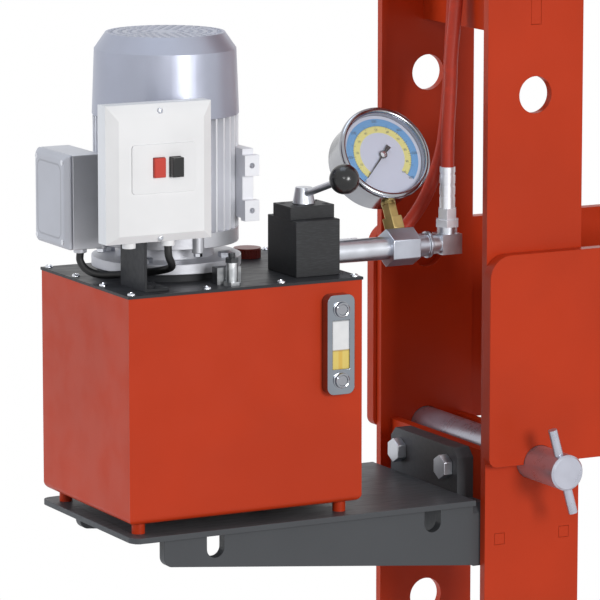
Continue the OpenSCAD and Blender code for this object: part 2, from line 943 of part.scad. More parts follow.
module shelf_plate() {
    color(shelf_grey) translate([0, 0, shelf_bottom]) linear_extrude(shelf_thickness) difference() {
        union() {
            translate([shelf_left + shelf_radius, -shelf_depth / 2])
                square([end_left - shelf_left - shelf_radius, shelf_depth]);
            translate([shelf_left, -shelf_depth / 2 + shelf_radius])
                square([2 * shelf_radius, shelf_depth - 2 * shelf_radius]);
            for (sy = [-1, 1]) {
                translate([shelf_left + shelf_radius, sy * (shelf_depth / 2 - shelf_radius)])
                    circle(r = shelf_radius);
            }
        }
        foot_places() circle(d = foot_bolt + bolt_gap);
    }
}

module arm_profile() {
    difference() {
        union() {
            polygon([
                [arm_left, shelf_bottom], [end_left, shelf_bottom], [end_left, arm_root_bottom],
                [arm_left + arm_radius, arm_tip_bottom], [arm_left, arm_tip_bottom + arm_radius],
            ]);
            translate([arm_left + arm_radius, arm_tip_bottom + arm_radius]) circle(r = arm_radius);
        }
        for (place = notch_places) {
            translate([arm_left + place, shelf_bottom - notch_depth + notch_width / 2])
                circle(d = notch_width);
            translate([arm_left + place - notch_width / 2, shelf_bottom - notch_depth + notch_width / 2])
                square([notch_width, notch_depth]);
        }
    }
}

module end_profile() {
    difference() {
        polygon([
            [-end_half, end_bottom], [end_half, end_bottom],
            [end_half, shelf_bottom - end_shoulder], [end_half - end_shoulder, shelf_bottom],
            [end_tongue_half, shelf_bottom], [end_tongue_half, end_tongue_top - end_shoulder],
            [end_tongue_half - end_shoulder, end_tongue_top], [end_shoulder - end_tongue_half, end_tongue_top],
            [-end_tongue_half, end_tongue_top - end_shoulder], [-end_tongue_half, shelf_bottom],
            [end_shoulder - end_half, shelf_bottom], [-end_half, shelf_bottom - end_shoulder],
        ]);
        for (sy = [-1, 1]) {
            translate([sy * shelf_bolt_reach, shelf_bolt_level]) circle(d = shelf_bolt + bolt_gap);
        }
    }
}

module shelf_frame() {
    color(shelf_grey) {
        for (sy = [-1, 1]) {
            upright_xz(arm_thickness, sy * arm_y) arm_profile();
        }
        upright_yz(end_thickness, end_left + end_thickness / 2) end_profile();
    }
}

// Tank
module tank_outline(width) {
    translate([-width / 2, tank_bottom + tank_radius]) square([width, tank_height - tank_radius]);
    translate([-width / 2 + tank_radius, tank_bottom]) square([width - 2 * tank_radius, 2 * tank_radius]);
    for (sx = [-1, 1]) {
        translate([sx * (width / 2 - tank_radius), tank_bottom + tank_radius]) circle(r = tank_radius);
    }
}

module lid_screw_places() {
    step_x = (tank_width - 2 * lid_screw_inset) / (lid_screw_count - 1);
    step_y = (tank_depth - 2 * lid_screw_inset) / (lid_screw_count - 1);
    for (i = [0 : lid_screw_count - 1], sy = [-1, 1]) {
        translate([tank_left + lid_screw_inset + i * step_x, sy * (tank_depth / 2 - lid_screw_inset), 0])
            children();
    }
    for (j = [1 : lid_screw_count - 2], sx = [-1, 1]) {
        translate([tank_x + sx * (tank_width / 2 - lid_screw_inset), tank_front + lid_screw_inset + j * step_y, 0])
            children();
    }
}

module sight_bolt_places() {
    for (sz = [-1, 1]) {
        translate([sight_x, tank_front, sight_level + sz * sight_bolt_spread / 2]) children();
    }
}

module tank() {
    color(red_paint) difference() {
        union() {
            intersection() {
                translate([tank_x, 0, 0]) upright_xz(tank_depth, 0) tank_outline(tank_width);
                upright_yz(tank_width, tank_x) tank_outline(tank_depth);
            }
            foot_places() translate([0, 0, shelf_level])
                cylinder(d = tank_foot_diameter, h = tank_foot_height + tank_wall);
        }
        block([tank_left + tank_wall, tank_front + tank_wall, tank_bottom + tank_wall],
            [tank_right - tank_wall, tank_rear - tank_wall, tank_top - tank_wall]);
        block([tank_left + tank_lip, tank_front + tank_lip, tank_bottom + tank_wall],
            [tank_right - tank_lip, tank_rear - tank_lip, tank_top + cut]);
        foot_places() translate([0, 0, shelf_level - cut])
            cylinder(d = foot_bolt + bolt_gap, h = foot_bolt_depth + 2 * cut);
        lid_screw_places() translate([0, 0, tank_top - 2 * tank_wall])
            cylinder(d = lid_screw + bolt_gap, h = 3 * tank_wall);
        sight_bolt_places() rod_y(sight_bolt + bolt_gap, -cut, tank_wall + cut);
    }
}

module tank_lid() {
    color(black_finish) difference() {
        union() {
            block([tank_left - lid_overhang, tank_front - lid_overhang, lid_bottom],
                [tank_right + lid_overhang, tank_rear + lid_overhang, lid_top]);
            translate([cap_x, cap_y, lid_bottom])
                cylinder(d = neck_diameter - 2 * running_gap, h = lid_thickness + neck_height);
        }
        translate([cap_x, cap_y, lid_bottom - cut])
            cylinder(d = neck_diameter / 2, h = lid_thickness + neck_height + 2 * cut);
        translate([motor_x, motor_y, lid_bottom - cut])
            cylinder(r = pump_stem + slide_gap, h = lid_thickness + 2 * cut);
        lid_screw_places() translate([0, 0, lid_bottom - cut])
            cylinder(d = lid_screw + bolt_gap, h = lid_thickness + 2 * cut);
        flange_bolt_places() translate([0, 0, lid_bottom - cut])
            cylinder(d = flange_bolt + bolt_gap, h = lid_thickness + 2 * cut);
        stud_positions() translate([0, 0, lid_bottom - cut])
            cylinder(d = stud + bolt_gap, h = lid_thickness + 2 * cut);
    }
}

module tank_screws() {
    color(bright_steel) {
        lid_screw_places() {
            translate([0, 0, lid_top])
                cylinder(d1 = lid_screw_head, d2 = lid_screw_head - 3, h = lid_screw_head_height);
            translate([0, 0, tank_top - 2 * tank_wall]) cylinder(d = lid_screw, h = lid_thickness + 2 * tank_wall);
        }
        sight_bolt_places() {
            translate([0, -sight_depth, 0]) rotate([90, 0, 0])
                cylinder(d1 = sight_bolt_head, d2 = sight_bolt_head - 5, h = sight_bolt_head_height);
            rod_y(sight_bolt, -sight_depth, tank_wall);
            translate([0, tank_wall, 0]) rotate([-90, 0, 0])
                hexagon_bar(flats_ratio * sight_bolt, nut_ratio * sight_bolt);
        }
        foot_places() translate([0, 0, shelf_bottom]) hex_screw(foot_bolt, shelf_thickness + foot_bolt_depth);
        flange_bolt_places() translate([0, 0, flange_bottom + flange_thickness]) rotate([180, 0, 0])
            hex_screw(flange_bolt, flange_thickness + ring_height + lid_thickness);
        stud_positions() translate([0, 0, lid_top + sheet]) rotate([180, 0, 0])
            hex_screw(stud, sheet + lid_thickness);
    }
}

module sight_glass_frame() {
    color(bright_steel) difference() {
        translate([sight_x, 0, sight_level]) upright_xz(sight_depth, tank_front - sight_depth / 2)
            rounded_rectangle(sight_width, sight_height, sight_width / 4);
        translate([sight_x, 0, sight_level]) upright_xz(sight_depth + 2 * cut, tank_front - sight_depth / 2)
            square([sight_window_width, sight_window_height], center = true);
        sight_bolt_places() rod_y(sight_bolt + bolt_gap, -sight_depth - cut, cut);
    }
}

module sight_glass_window() {
    color(clear_tone)
        translate([sight_x, 0, sight_level])
            upright_xz(sight_depth - sight_recess, tank_front - (sight_depth - sight_recess) / 2)
                square([sight_window_width, sight_window_height], center = true);
}

module filler_cap() {
    color(cap_red) translate([cap_x, cap_y, lid_top + seat_gap]) difference() {
        cylinder(d = cap_diameter, h = cap_height);
        translate([0, 0, -cut]) cylinder(d = neck_diameter, h = neck_height + cut);
        for (i = [0 : cap_rib_count - 1]) {
            rotate([0, 0, 360 * i / cap_rib_count]) translate([cap_diameter / 2, 0, -cut])
                cylinder(r = cap_rib, h = cap_height - 1);
        }
    }
}

module relief_valve() {
    body_width = 28;
    body_depth = 12;
    body_height = 18;
    stem = 12.5;
    stem_height = 24;
    nut_level = 24;
    locknut = 13;
    locknut_height = 5;
    tip = 7;
    tip_height = 34;
    color(bright_steel) translate([relief_x, relief_y, lid_top]) {
        translate([-body_width / 2, stem / 2, 0]) cube([body_width, body_depth, body_height]);
        cylinder(d = stem, h = stem_height);
        translate([0, 0, nut_level]) hexagon_bar(locknut, locknut_height);
        cylinder(d = tip, h = tip_height);
        hexagon_bar(stem + 4, 4);
        translate([-stem / 2 + 2, 0, 0]) cube([stem - 4, stem, body_height]);
    }
}

// Motor
module flange_bolt_places() {
    for (i = [0 : 3]) {
        translate([motor_x, motor_y, 0]) rotate([0, 0, 45 + 90 * i]) translate([flange_bolt_reach, 0, 0])
            children();
    }
}

module motor_flange() {
    color(motor_grey) difference() {
        translate([motor_x, motor_y, 0]) union() {
            translate([0, 0, flange_bottom]) cylinder(r = flange_radius, h = flange_thickness);
            translate([0, 0, flange_bottom]) cylinder(r = neck_radius, h = shield_top - flange_bottom);
            translate([0, 0, shield_bottom]) cylinder(r = shield_radius, h = shield_top - shield_bottom);
            for (i = [0 : lug_count - 1]) {
                rotate([0, 0, 360 * i / lug_count]) translate([lug_reach, 0, shield_bottom - 4])
                    cylinder(d = lug_diameter, h = shield_top - shield_bottom + 4);
            }
        }
        translate([motor_x, motor_y, flange_bottom - cut])
            cylinder(r = coupling_radius + coupling_gap, h = shield_bottom - flange_bottom);
        translate([motor_x, motor_y, shield_bottom - 2 * cut])
            cylinder(d = shaft_diameter + 2 * running_gap, h = shield_top - shield_bottom + 4 * cut);
        flange_bolt_places() translate([0, 0, flange_bottom - cut])
            cylinder(d = flange_bolt + bolt_gap, h = flange_thickness + 2 * cut);
    }
}

module housing_profile() {
    circle(r = housing_core);
    for (i = [0 : fin_count - 1]) {
        rotate(360 * i / fin_count) translate([fin_root, -fin_thickness / 2])
            square([fin_radius - fin_root, fin_thickness]);
    }
}

module motor_housing() {
    color(motor_grey) translate([motor_x, motor_y, shield_top]) difference() {
        union() {
            linear_extrude(housing_height) housing_profile();
            for (sx = [-1, 1]) {
                block([sx * pad_reach - rail_width / 2, pad_depth - pad_face, rail_start],
                    [sx * pad_reach + rail_width / 2, 0, rail_end]);
                for (level = pad_levels) {
                    translate([sx * pad_reach - pad_width / 2, -pad_face, level - pad_height / 2])
                        cube([pad_width, pad_depth, pad_height]);
                }
            }
            block([-box_pad_face, -box_pad_width / 2, rail_start], [0, box_pad_width / 2, rail_start + box_pad_height]);
        }
        translate([0, 0, -cut])
            cylinder(r = rotor_radius + air_gap, h = housing_height - end_web + cut);
        cylinder(d = shaft_diameter + 2 * running_gap, h = housing_height + cut);
        for (sx = [-1, 1], level = pad_levels) {
            translate([sx * pad_reach, 0, level]) rod_y(pad_hole, -pad_face - cut, pad_depth - pad_face);
        }
    }
}

module cowl_shell(inset) {
    rotate_extrude() polygon([
        [0, 0], [cowl_base_radius - inset, 0],
        [cowl_shoulder_radius - inset, cowl_height - cowl_shoulder_drop],
        [cowl_top_radius - inset, cowl_height - inset], [0, cowl_height - inset],
    ]);
}

module fan_cowl() {
    color(motor_grey) translate([motor_x, motor_y, housing_top]) difference() {
        cowl_shell(0);
        translate([0, 0, -cut / 100]) cowl_shell(cowl_wall);
        for (ring = grille_rings, i = [0 : floor(2 * PI * ring / grille_pitch) - 1]) {
            rotate([0, 0, 360 * i / floor(2 * PI * ring / grille_pitch)])
                translate([ring, 0, cowl_height - 2 * cowl_wall]) cylinder(d = grille_hole, h = 3 * cowl_wall);
        }
    }
}

module motor_shaft() {
    shaft_bottom = lid_top - 36;
    coupling_height = 34;
    core_inset = 14;
    color(bright_steel) translate([motor_x, motor_y, 0]) {
        translate([0, 0, shaft_bottom]) cylinder(d = shaft_diameter, h = fan_level + fan_height - shaft_bottom);
        translate([0, 0, shaft_bottom]) cylinder(r = coupling_radius, h = coupling_height);
        translate([0, 0, shield_top + core_inset])
            cylinder(r = rotor_radius, h = housing_height - end_web - 2 * core_inset);
    }
}

module motor_fan() {
    color(black_finish) translate([motor_x, motor_y, fan_level]) difference() {
        union() {
            cylinder(r = fan_hub, h = fan_height);
            cylinder(r = fan_radius, h = fan_disc);
            for (i = [0 : fan_blades - 1]) {
                rotate([0, 0, 360 * i / fan_blades])
                    translate([fan_hub - fan_blade_root, -fan_blade_thickness / 2, 0])
                    cube([fan_blade_length, fan_blade_thickness, fan_height]);
            }
        }
        translate([0, 0, -cut]) cylinder(d = shaft_diameter + 2 * running_gap, h = fan_height + 2 * cut);
    }
}

module pump() {
    color(black_finish) difference() {
        translate([motor_x, motor_y, 0]) union() {
            translate([0, 0, lid_top]) cylinder(r = ring_radius, h = ring_height);
            translate([0, 0, lid_bottom - 10]) cylinder(r = pump_stem, h = 10 + lid_thickness + ring_height);
            translate([0, 0, lid_bottom - pump_drop]) cylinder(r = pump_body, h = pump_drop);
            translate([0, 0, tank_bottom + tank_wall + strainer_lift])
                cylinder(d = strainer_tube, h = tank_height - tank_wall - strainer_lift - pump_drop);
            translate([0, 0, tank_bottom + tank_wall + strainer_lift])
                cylinder(d = strainer_diameter, h = strainer_height);
        }
        translate([motor_x, motor_y, lid_top - 40])
            cylinder(r = coupling_radius + coupling_gap, h = 40 + ring_height + cut);
        flange_bolt_places() translate([0, 0, lid_top - cut])
            cylinder(d = flange_bolt + bolt_gap, h = ring_height + 2 * cut);
    }
}

module terminal_box() {
    color(motor_grey) difference() {
        union() {
            block([box_left, box_y - box_width / 2, box_bottom],
                [box_right, box_y + box_width / 2, box_bottom + box_height]);
            block([box_right, box_y - box_pad_width / 2, shield_top + rail_start],
                [motor_x - box_pad_face, box_y + box_pad_width / 2, shield_top + rail_start + box_pad_height]);
            translate(motor_lead_route[0]) cylinder(d = gland_diameter, h = gland_length + cut);
        }
        block([box_left - cut, box_y - box_width / 2 + box_wall, box_bottom + box_wall],
            [box_right - box_wall, box_y + box_width / 2 - box_wall, box_bottom + box_height - box_wall]);
    }
}

module terminal_box_lid() {
    side = box_lid_bevel;
    outer = box_left - box_lid_thickness;
    color(motor_grey) intersection() {
        upright_xz(box_width, box_y) polygon([
            [box_left, box_bottom], [box_left, box_bottom + box_height],
            [outer + side, box_bottom + box_height], [outer, box_bottom + box_height - side],
            [outer, box_bottom + side], [outer + side, box_bottom],
        ]);
        translate([0, 0, box_bottom]) linear_extrude(box_height) polygon([
            [box_left, box_y - box_width / 2], [box_left, box_y + box_width / 2],
            [outer + side, box_y + box_width / 2], [outer, box_y + box_width / 2 - side],
            [outer, box_y - box_width / 2 + side], [outer + side, box_y - box_width / 2],
        ]);
    }
}

// Switch
module button_shape(grow) {
    square([button_width + 2 * grow, button_height + 2 * grow], center = true);
}

module switch_box() {
    half = switch_width / 2;
    color(white_shell) difference() {
        union() {
            intersection() {
                upright_yz(switch_width, switch_x) polygon([
                    [switch_back, switch_bottom], [switch_back, switch_top],
                    [switch_front + switch_bevel_depth, switch_top],
                    [switch_front, switch_top - switch_bevel_top],
                    [switch_front, switch_bottom + switch_bevel_bottom],
                    [switch_front + switch_bevel_depth, switch_bottom],
                ]);
                translate([switch_x, 0, switch_bottom]) linear_extrude(switch_height) polygon([
                    [-half, switch_back], [-half, switch_front + switch_bevel_depth],
                    [switch_bevel_side - half, switch_front], [half - switch_bevel_side, switch_front],
                    [half, switch_front + switch_bevel_depth], [half, switch_back],
                ]);
            }
            translate([panel_x, 0, panel_level]) upright_xz(panel_rise, switch_front - panel_rise / 2)
                rounded_rectangle(panel_width, panel_height, panel_radius);
            translate([lead_end_x, lead_end_y, switch_bottom - gland_length])
                cylinder(d = gland_diameter, h = gland_length + cut);
            translate([switch_x - half / 2, lead_end_y, switch_bottom - gland_length])
                cylinder(d = gland_diameter, h = gland_length + cut);
        }
        for (x = [stop_x, start_x]) {
            translate([x, 0, button_level])
                upright_xz(button_depth + button_travel + 2 * panel_rise,
                    switch_front + (button_depth + button_travel) / 2 - panel_rise)
                    button_shape(slide_gap);
        }
    }
}

module push_button(x, rise) {
    translate([x, 0, button_level])
        upright_xz(button_depth + rise, switch_front - panel_rise + (button_depth - rise) / 2) button_shape(0);
}

module stop_button() {
    color(signal_red) push_button(stop_x, stop_rise);
}

module start_button() {
    color(black_finish) push_button(start_x, start_rise);
}

module stud_positions() {
    for (place = stud_places) {
        translate([bracket_x + place[0], switch_back + place[1], 0]) children();
    }
}

module switch_bracket() {
    color(black_finish) difference() {
        union() {
            block([bracket_x - sheet / 2, switch_back, lid_top], [bracket_x + sheet / 2, bracket_rear, switch_top - 60]);
            block([bracket_x - sheet / 2, switch_back, lid_top],
                [bracket_x + bracket_foot_reach, bracket_foot_rear, lid_top + sheet]);
            block([switch_x - bracket_plate_half, switch_back, switch_bottom + 16],
                [switch_x + bracket_plate_half, switch_back + sheet, switch_top - 30]);
        }
        stud_positions() translate([0, 0, lid_top - cut]) cylinder(d = stud + bolt_gap, h = sheet + 2 * cut);
    }
}

// Valve
module valve_body() {
    color(black_finish) difference() {
        block([valve_left, valve_front, lid_top], [valve_right, valve_rear, valve_top]);
        translate([valve_x, valve_axis_y, valve_top - spindle_depth])
            cylinder(d = spindle + 2 * running_gap, h = spindle_depth + cut);
    }
}

module valve_cap() {
    color(black_finish) difference() {
        block([valve_left, valve_axis_y - valve_cap_depth / 2, valve_top],
            [valve_right, valve_axis_y + valve_cap_depth / 2, valve_top + valve_cap_height]);
        translate([valve_x, valve_axis_y, valve_top - cut])
            cylinder(d = spindle + 2 * running_gap, h = valve_cap_height + 2 * cut);
    }
}

module lever_frame() {
    translate([valve_x, valve_axis_y, lever_z]) rotate([90 - lever_rise, 0, 0]) children();
}

module valve_lever() {
    color(bright_steel) {
        translate([valve_x, valve_axis_y, hub_bottom])
            cylinder(d1 = hub_wide, d2 = hub_narrow, h = hub_height);
        translate([valve_x, valve_axis_y, valve_top - spindle_depth + 2])
            cylinder(d = spindle, h = hub_bottom - valve_top + spindle_depth);
        lever_frame() cylinder(d = lever_rod, h = lever_length - knob_diameter / 2 + knob_hole_depth - 1);
    }
}

module lever_knob() {
    color(black_finish) lever_frame() difference() {
        translate([0, 0, lever_length]) sphere(d = knob_diameter);
        cylinder(d = lever_rod + 2 * running_gap, h = lever_length - knob_diameter / 2 + knob_hole_depth);
    }
}

// Line
module on_line() {
    translate([0, line_y, line_z]) children();
}

module pressure_tube() {
    color(bright_steel) on_line() difference() {
        rod_x(tube_diameter, valve_right, tee_left);
        rod_x(tube_bore, valve_right - cut, tee_left + cut);
    }
}

module tee() {
    color(bright_steel) on_line() {
        translate([tee_left, 0, 0]) rotate([0, 90, 0]) hexagon_bar(tee_flats, tee_length);
        rod_x(tube_diameter, tee_right, tee_right + spigot_length);
        rod_x(ring_diameter, tee_right + spigot_length, tee_right + spigot_length + ring_length);
    }
}

module elbow_shape() {
    rod_x(elbow_leg, -elbow_reach, 0);
    cylinder(d = elbow_leg, h = elbow_rise);
    translate([-elbow_block / 2, -elbow_block / 2, -elbow_leg / 2]) cube([elbow_block, elbow_block, elbow_leg]);
}

module elbow() {
    color(bright_steel) {
        translate([elbow_x, line_y, line_z]) elbow_shape();
        translate([rear_port_x, rear_port_y, rear_port_z]) rotate([90, 0, 90]) elbow_shape();
    }
}

module hose_fitting() {
    ferrule_start = nut_length + collar_length;
    hexagon_bar(nut_flats, nut_length);
    translate([0, 0, nut_length]) hexagon_bar(collar_flats, collar_length);
    translate([0, 0, ferrule_start]) difference() {
        cylinder(d = ferrule_diameter, h = ferrule_length);
        for (place = groove_places) {
            translate([0, 0, place]) difference() {
                cylinder(d = ferrule_diameter + cut, h = groove_width);
                cylinder(d = ferrule_diameter - 2 * groove_depth, h = groove_width);
            }
        }
    }
}

module hose_fittings() {
    color(bright_steel) {
        translate([elbow_x, line_y, line_z + elbow_rise]) hose_fitting();
        translate([rear_port_x + elbow_rise, rear_port_y, rear_port_z]) rotate([0, 90, 0]) hose_fitting();
        for (level = [port_level_low, port_level_high]) {
            translate([-port_face, 0, level]) rotate([0, -90, 0]) hose_fitting();
        }
    }
}

module hose_a() {
    color(hose_red) swept_tube(hose_a_route, hose_diameter, [0, 1, 0]);
}

module hose_b() {
    color(hose_red) swept_tube(hose_b_route, hose_diameter, [0, 1, 0]);
}

module motor_lead() {
    color(black_finish) swept_tube(motor_lead_route, lead_diameter, [1, 1, 0]);
}

// Gauge
module gauge_frame() {
    translate([tee_x, line_y, line_z]) rotate([-gauge_lean, 0, 0]) children();
}

module gauge_axis() {
    gauge_frame() translate([0, 0, gauge_reach]) children();
}

module gauge_adapter() {
    color(brass_tone) gauge_frame() {
        translate([0, 0, adapter_start]) hexagon_bar(adapter_wide, adapter_middle - adapter_start);
        translate([0, 0, adapter_middle]) hexagon_bar(adapter_narrow, adapter_end - adapter_middle);
    }
}

module gauge_case() {
    color(bright_steel) difference() {
        union() {
            gauge_axis() rod_y(2 * case_radius, -gauge_face + cut, case_back);
            gauge_axis() rod_y(2 * bezel_radius, -gauge_face, bezel_depth - gauge_face);
            gauge_frame() translate([0, 0, adapter_end]) cylinder(d = gauge_boss, h = gauge_reach - adapter_end);
        }
        gauge_axis() rod_y(2 * cavity_radius, glass_setback - gauge_face, case_back - 3);
        gauge_axis() rod_y(2 * window_radius, -gauge_face - cut, glass_setback - gauge_face + cut);
    }
}

module gauge_dial() {
    color(white_shell) gauge_axis() difference() {
        rod_y(2 * cavity_radius, dial_setback - gauge_face, dial_setback + dial_thickness - gauge_face);
        rod_y(needle_pin + 2 * seat_gap, dial_setback - gauge_face - cut, dial_setback + 2 * dial_thickness - gauge_face);
    }
}

module gauge_glass() {
    color(clear_tone) gauge_axis()
        rod_y(2 * cavity_radius, glass_setback - gauge_face, glass_setback + glass_thickness - gauge_face);
}

module gauge_needle() {
    color(black_finish) gauge_axis() {
        translate([0, needle_setback - gauge_face, 0]) rotate([0, 90 - needle_zero, 0])
            upright_xz(needle_thickness, 0) polygon([
                [-needle_width / 2, 0], [needle_width / 2, 0], [needle_width / 6, needle_length],
                [-needle_width / 6, needle_length],
            ]);
        translate([0, needle_setback - gauge_face, 0]) rotate([0, 90 - needle_zero, 0])
            upright_xz(needle_thickness, 0) polygon([
                [-needle_width / 2, 0], [-needle_tail_width / 2, -needle_tail],
                [needle_tail_width / 2, -needle_tail], [needle_width / 2, 0],
            ]);
        rod_y(needle_hub, needle_setback - gauge_face - needle_thickness, needle_setback - gauge_face + needle_thickness);
        rod_y(needle_pin, needle_setback - gauge_face, dial_setback + dial_thickness - gauge_face);
    }
}

column_front_left();
column_rear_left();
column_front_right();
column_rear_right();
column_ties();
foot_left();
foot_right();
base_beam();
crosshead_front();
crosshead_rear();
crosshead_spacers();
frame_bolts();
cylinder_mount();
cylinder_barrel();
cylinder_gland();
ram_rod();
ram_nose();
bed_front();
bed_rear();
bed_spacers();
bed_bolts();
left_pin();
right_pin();
shelf_plate();
shelf_frame();
tank();
tank_lid();
tank_screws();
sight_glass_frame();
sight_glass_window();
filler_cap();
motor_flange();
motor_housing();
fan_cowl();
motor_shaft();
motor_fan();
pump();
terminal_box();
terminal_box_lid();
switch_box();
stop_button();
start_button();
switch_bracket();
valve_body();
valve_cap();
valve_lever();
lever_knob();
relief_valve();
pressure_tube();
tee();
elbow();
hose_fittings();
gauge_adapter();
gauge_case();
gauge_dial();
gauge_glass();
gauge_needle();
hose_a();
hose_b();
motor_lead();
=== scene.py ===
"""Looks of a hydraulic workshop press whose power unit stands on a side shelf.

Metres, +Z up, Z = 0 on the floor, front towards -Y, power unit on the -X side.
"""
import json
import math

import bmesh
import bpy
import numpy as np
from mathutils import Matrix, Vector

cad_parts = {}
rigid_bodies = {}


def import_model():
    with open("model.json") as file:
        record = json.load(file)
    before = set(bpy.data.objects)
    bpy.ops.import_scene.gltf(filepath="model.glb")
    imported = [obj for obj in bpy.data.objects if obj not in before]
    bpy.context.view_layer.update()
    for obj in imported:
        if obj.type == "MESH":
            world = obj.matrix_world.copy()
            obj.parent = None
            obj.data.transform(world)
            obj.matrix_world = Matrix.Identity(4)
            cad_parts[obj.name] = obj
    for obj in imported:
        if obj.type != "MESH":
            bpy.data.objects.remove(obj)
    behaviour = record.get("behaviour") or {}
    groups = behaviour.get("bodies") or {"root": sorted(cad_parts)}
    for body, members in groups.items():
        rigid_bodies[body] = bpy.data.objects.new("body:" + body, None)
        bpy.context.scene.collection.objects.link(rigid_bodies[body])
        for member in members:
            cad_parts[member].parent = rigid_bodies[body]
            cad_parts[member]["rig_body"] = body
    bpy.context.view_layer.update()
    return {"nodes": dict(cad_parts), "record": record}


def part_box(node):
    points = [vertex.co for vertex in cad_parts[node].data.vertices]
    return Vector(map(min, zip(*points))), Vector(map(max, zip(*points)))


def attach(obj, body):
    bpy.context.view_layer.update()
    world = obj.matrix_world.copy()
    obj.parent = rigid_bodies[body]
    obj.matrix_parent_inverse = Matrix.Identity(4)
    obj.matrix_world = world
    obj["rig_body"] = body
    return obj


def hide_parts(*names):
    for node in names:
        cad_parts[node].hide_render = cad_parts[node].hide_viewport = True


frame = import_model()
nodes = frame["nodes"]
slot_of = {part["node"]: part["material_slot"] for part in frame["record"]["subparts"]}
scene = bpy.context.scene
MM = 0.001
TURN = 2 * math.pi
UP, DOWN, FORWARD, LEFT = (0, 0, 1), (0, 0, -1), (0, -1, 0), (-1, 0, 0)

# Camera
CAMERA_PLACE = (-2.8124, -4.1585, 1.7466)
CAMERA_YAW = 27.692
CAMERA_PITCH = 9.675
CAMERA_LENS = 264.33
CAMERA_SENSOR = 36
CAMERA_REACH = 80

# Cord routes in millimetres, the same points as the solids have
HOSE_A_ROUTE = [
    (-477, -52, 1088), (-477, -52, 1114), (-476, -52, 1140), (-474, -52, 1172), (-473, -52, 1204),
    (-470, -52, 1238), (-467, -52, 1270), (-463, -52, 1310), (-458, -52, 1350), (-452, -51, 1390),
    (-446, -50, 1430), (-439, -48, 1470), (-431, -45, 1510), (-421, -41, 1550), (-408, -36, 1590),
    (-392, -30, 1626), (-372, -24, 1660), (-347, -18, 1692), (-317, -12, 1721), (-282, -6, 1748),
    (-246, -2, 1772), (-208, 0, 1780), (-170, 0, 1780),
]
HOSE_B_ROUTE = [
    (-559, 4, 1000), (-533, 4, 1000), (-509, 5, 1007), (-488, 7, 1024), (-471, 9, 1045),
    (-457, 12, 1070), (-446, 15, 1098), (-440, 17, 1130), (-437, 17, 1164), (-435, 17, 1200),
    (-433, 17, 1236), (-431, 17, 1274), (-430, 16, 1312), (-428, 15, 1350), (-424, 13, 1388),
    (-415, 10, 1424), (-400, 7, 1458), (-376, 4, 1488), (-344, 2, 1513), (-306, 1, 1530),
    (-264, 0, 1539), (-218, 0, 1542), (-170, 0, 1542),
]
LEAD_ROUTE = [
    (-890, 2, 1017), (-890, 2, 1008), (-885, -2.5, 999), (-874, -9.5, 994), (-860, -19.5, 994),
    (-846, -32.5, 996), (-834, -47.5, 999), (-826, -64.5, 1003), (-825, -81.5, 1008),
    (-830, -94.5, 1014), (-837, -101.5, 1024), (-838, -102, 1035.5),
]
HOSE_DIAMETER = 14.5 * MM
LEAD_DIAMETER = 8 * MM
ROUTE_STEPS = 8
CORD_SIDES = 20


# Shader terms
def rgb(red, green, blue):
    """Linear colour of three display values from 0 to 255."""
    parts = [value / 255 for value in (red, green, blue)]
    return tuple(p / 12.92 if p <= 0.04045 else ((p + 0.055) / 1.055) ** 2.4 for p in parts) + (1,)


def shade_of(colour, amount):
    return tuple(part * amount for part in colour[:3]) + (1,)


class Term:
    """A shader socket; plain arithmetic on it adds Math nodes to its finish."""

    def __init__(self, finish, socket):
        self.finish = finish
        self.socket = socket

    def apply(self, operation, *values):
        return self.finish.node("ShaderNodeMath", {"operation": operation}, dict(enumerate(values)))

    def __add__(self, other):
        return self.apply("ADD", self, other)

    def __sub__(self, other):
        return self.apply("SUBTRACT", self, other)

    def __rsub__(self, other):
        return self.apply("SUBTRACT", other, self)

    def __mul__(self, other):
        return self.apply("MULTIPLY", self, other)

    def __pow__(self, power):
        return self.apply("POWER", self, power)

    def __abs__(self):
        return self.apply("ABSOLUTE", self)

    __radd__ = __add__
    __rmul__ = __mul__

    def at_least(self, other):
        return self.apply("MAXIMUM", self, other)

    def ramp(self, low, high):
        """Smooth rise from 0 at low to 1 at high."""
        return self.finish.node("ShaderNodeMapRange", {"interpolation_type": "SMOOTHSTEP"},
                                {"Value": self, "From Min": low, "From Max": high})


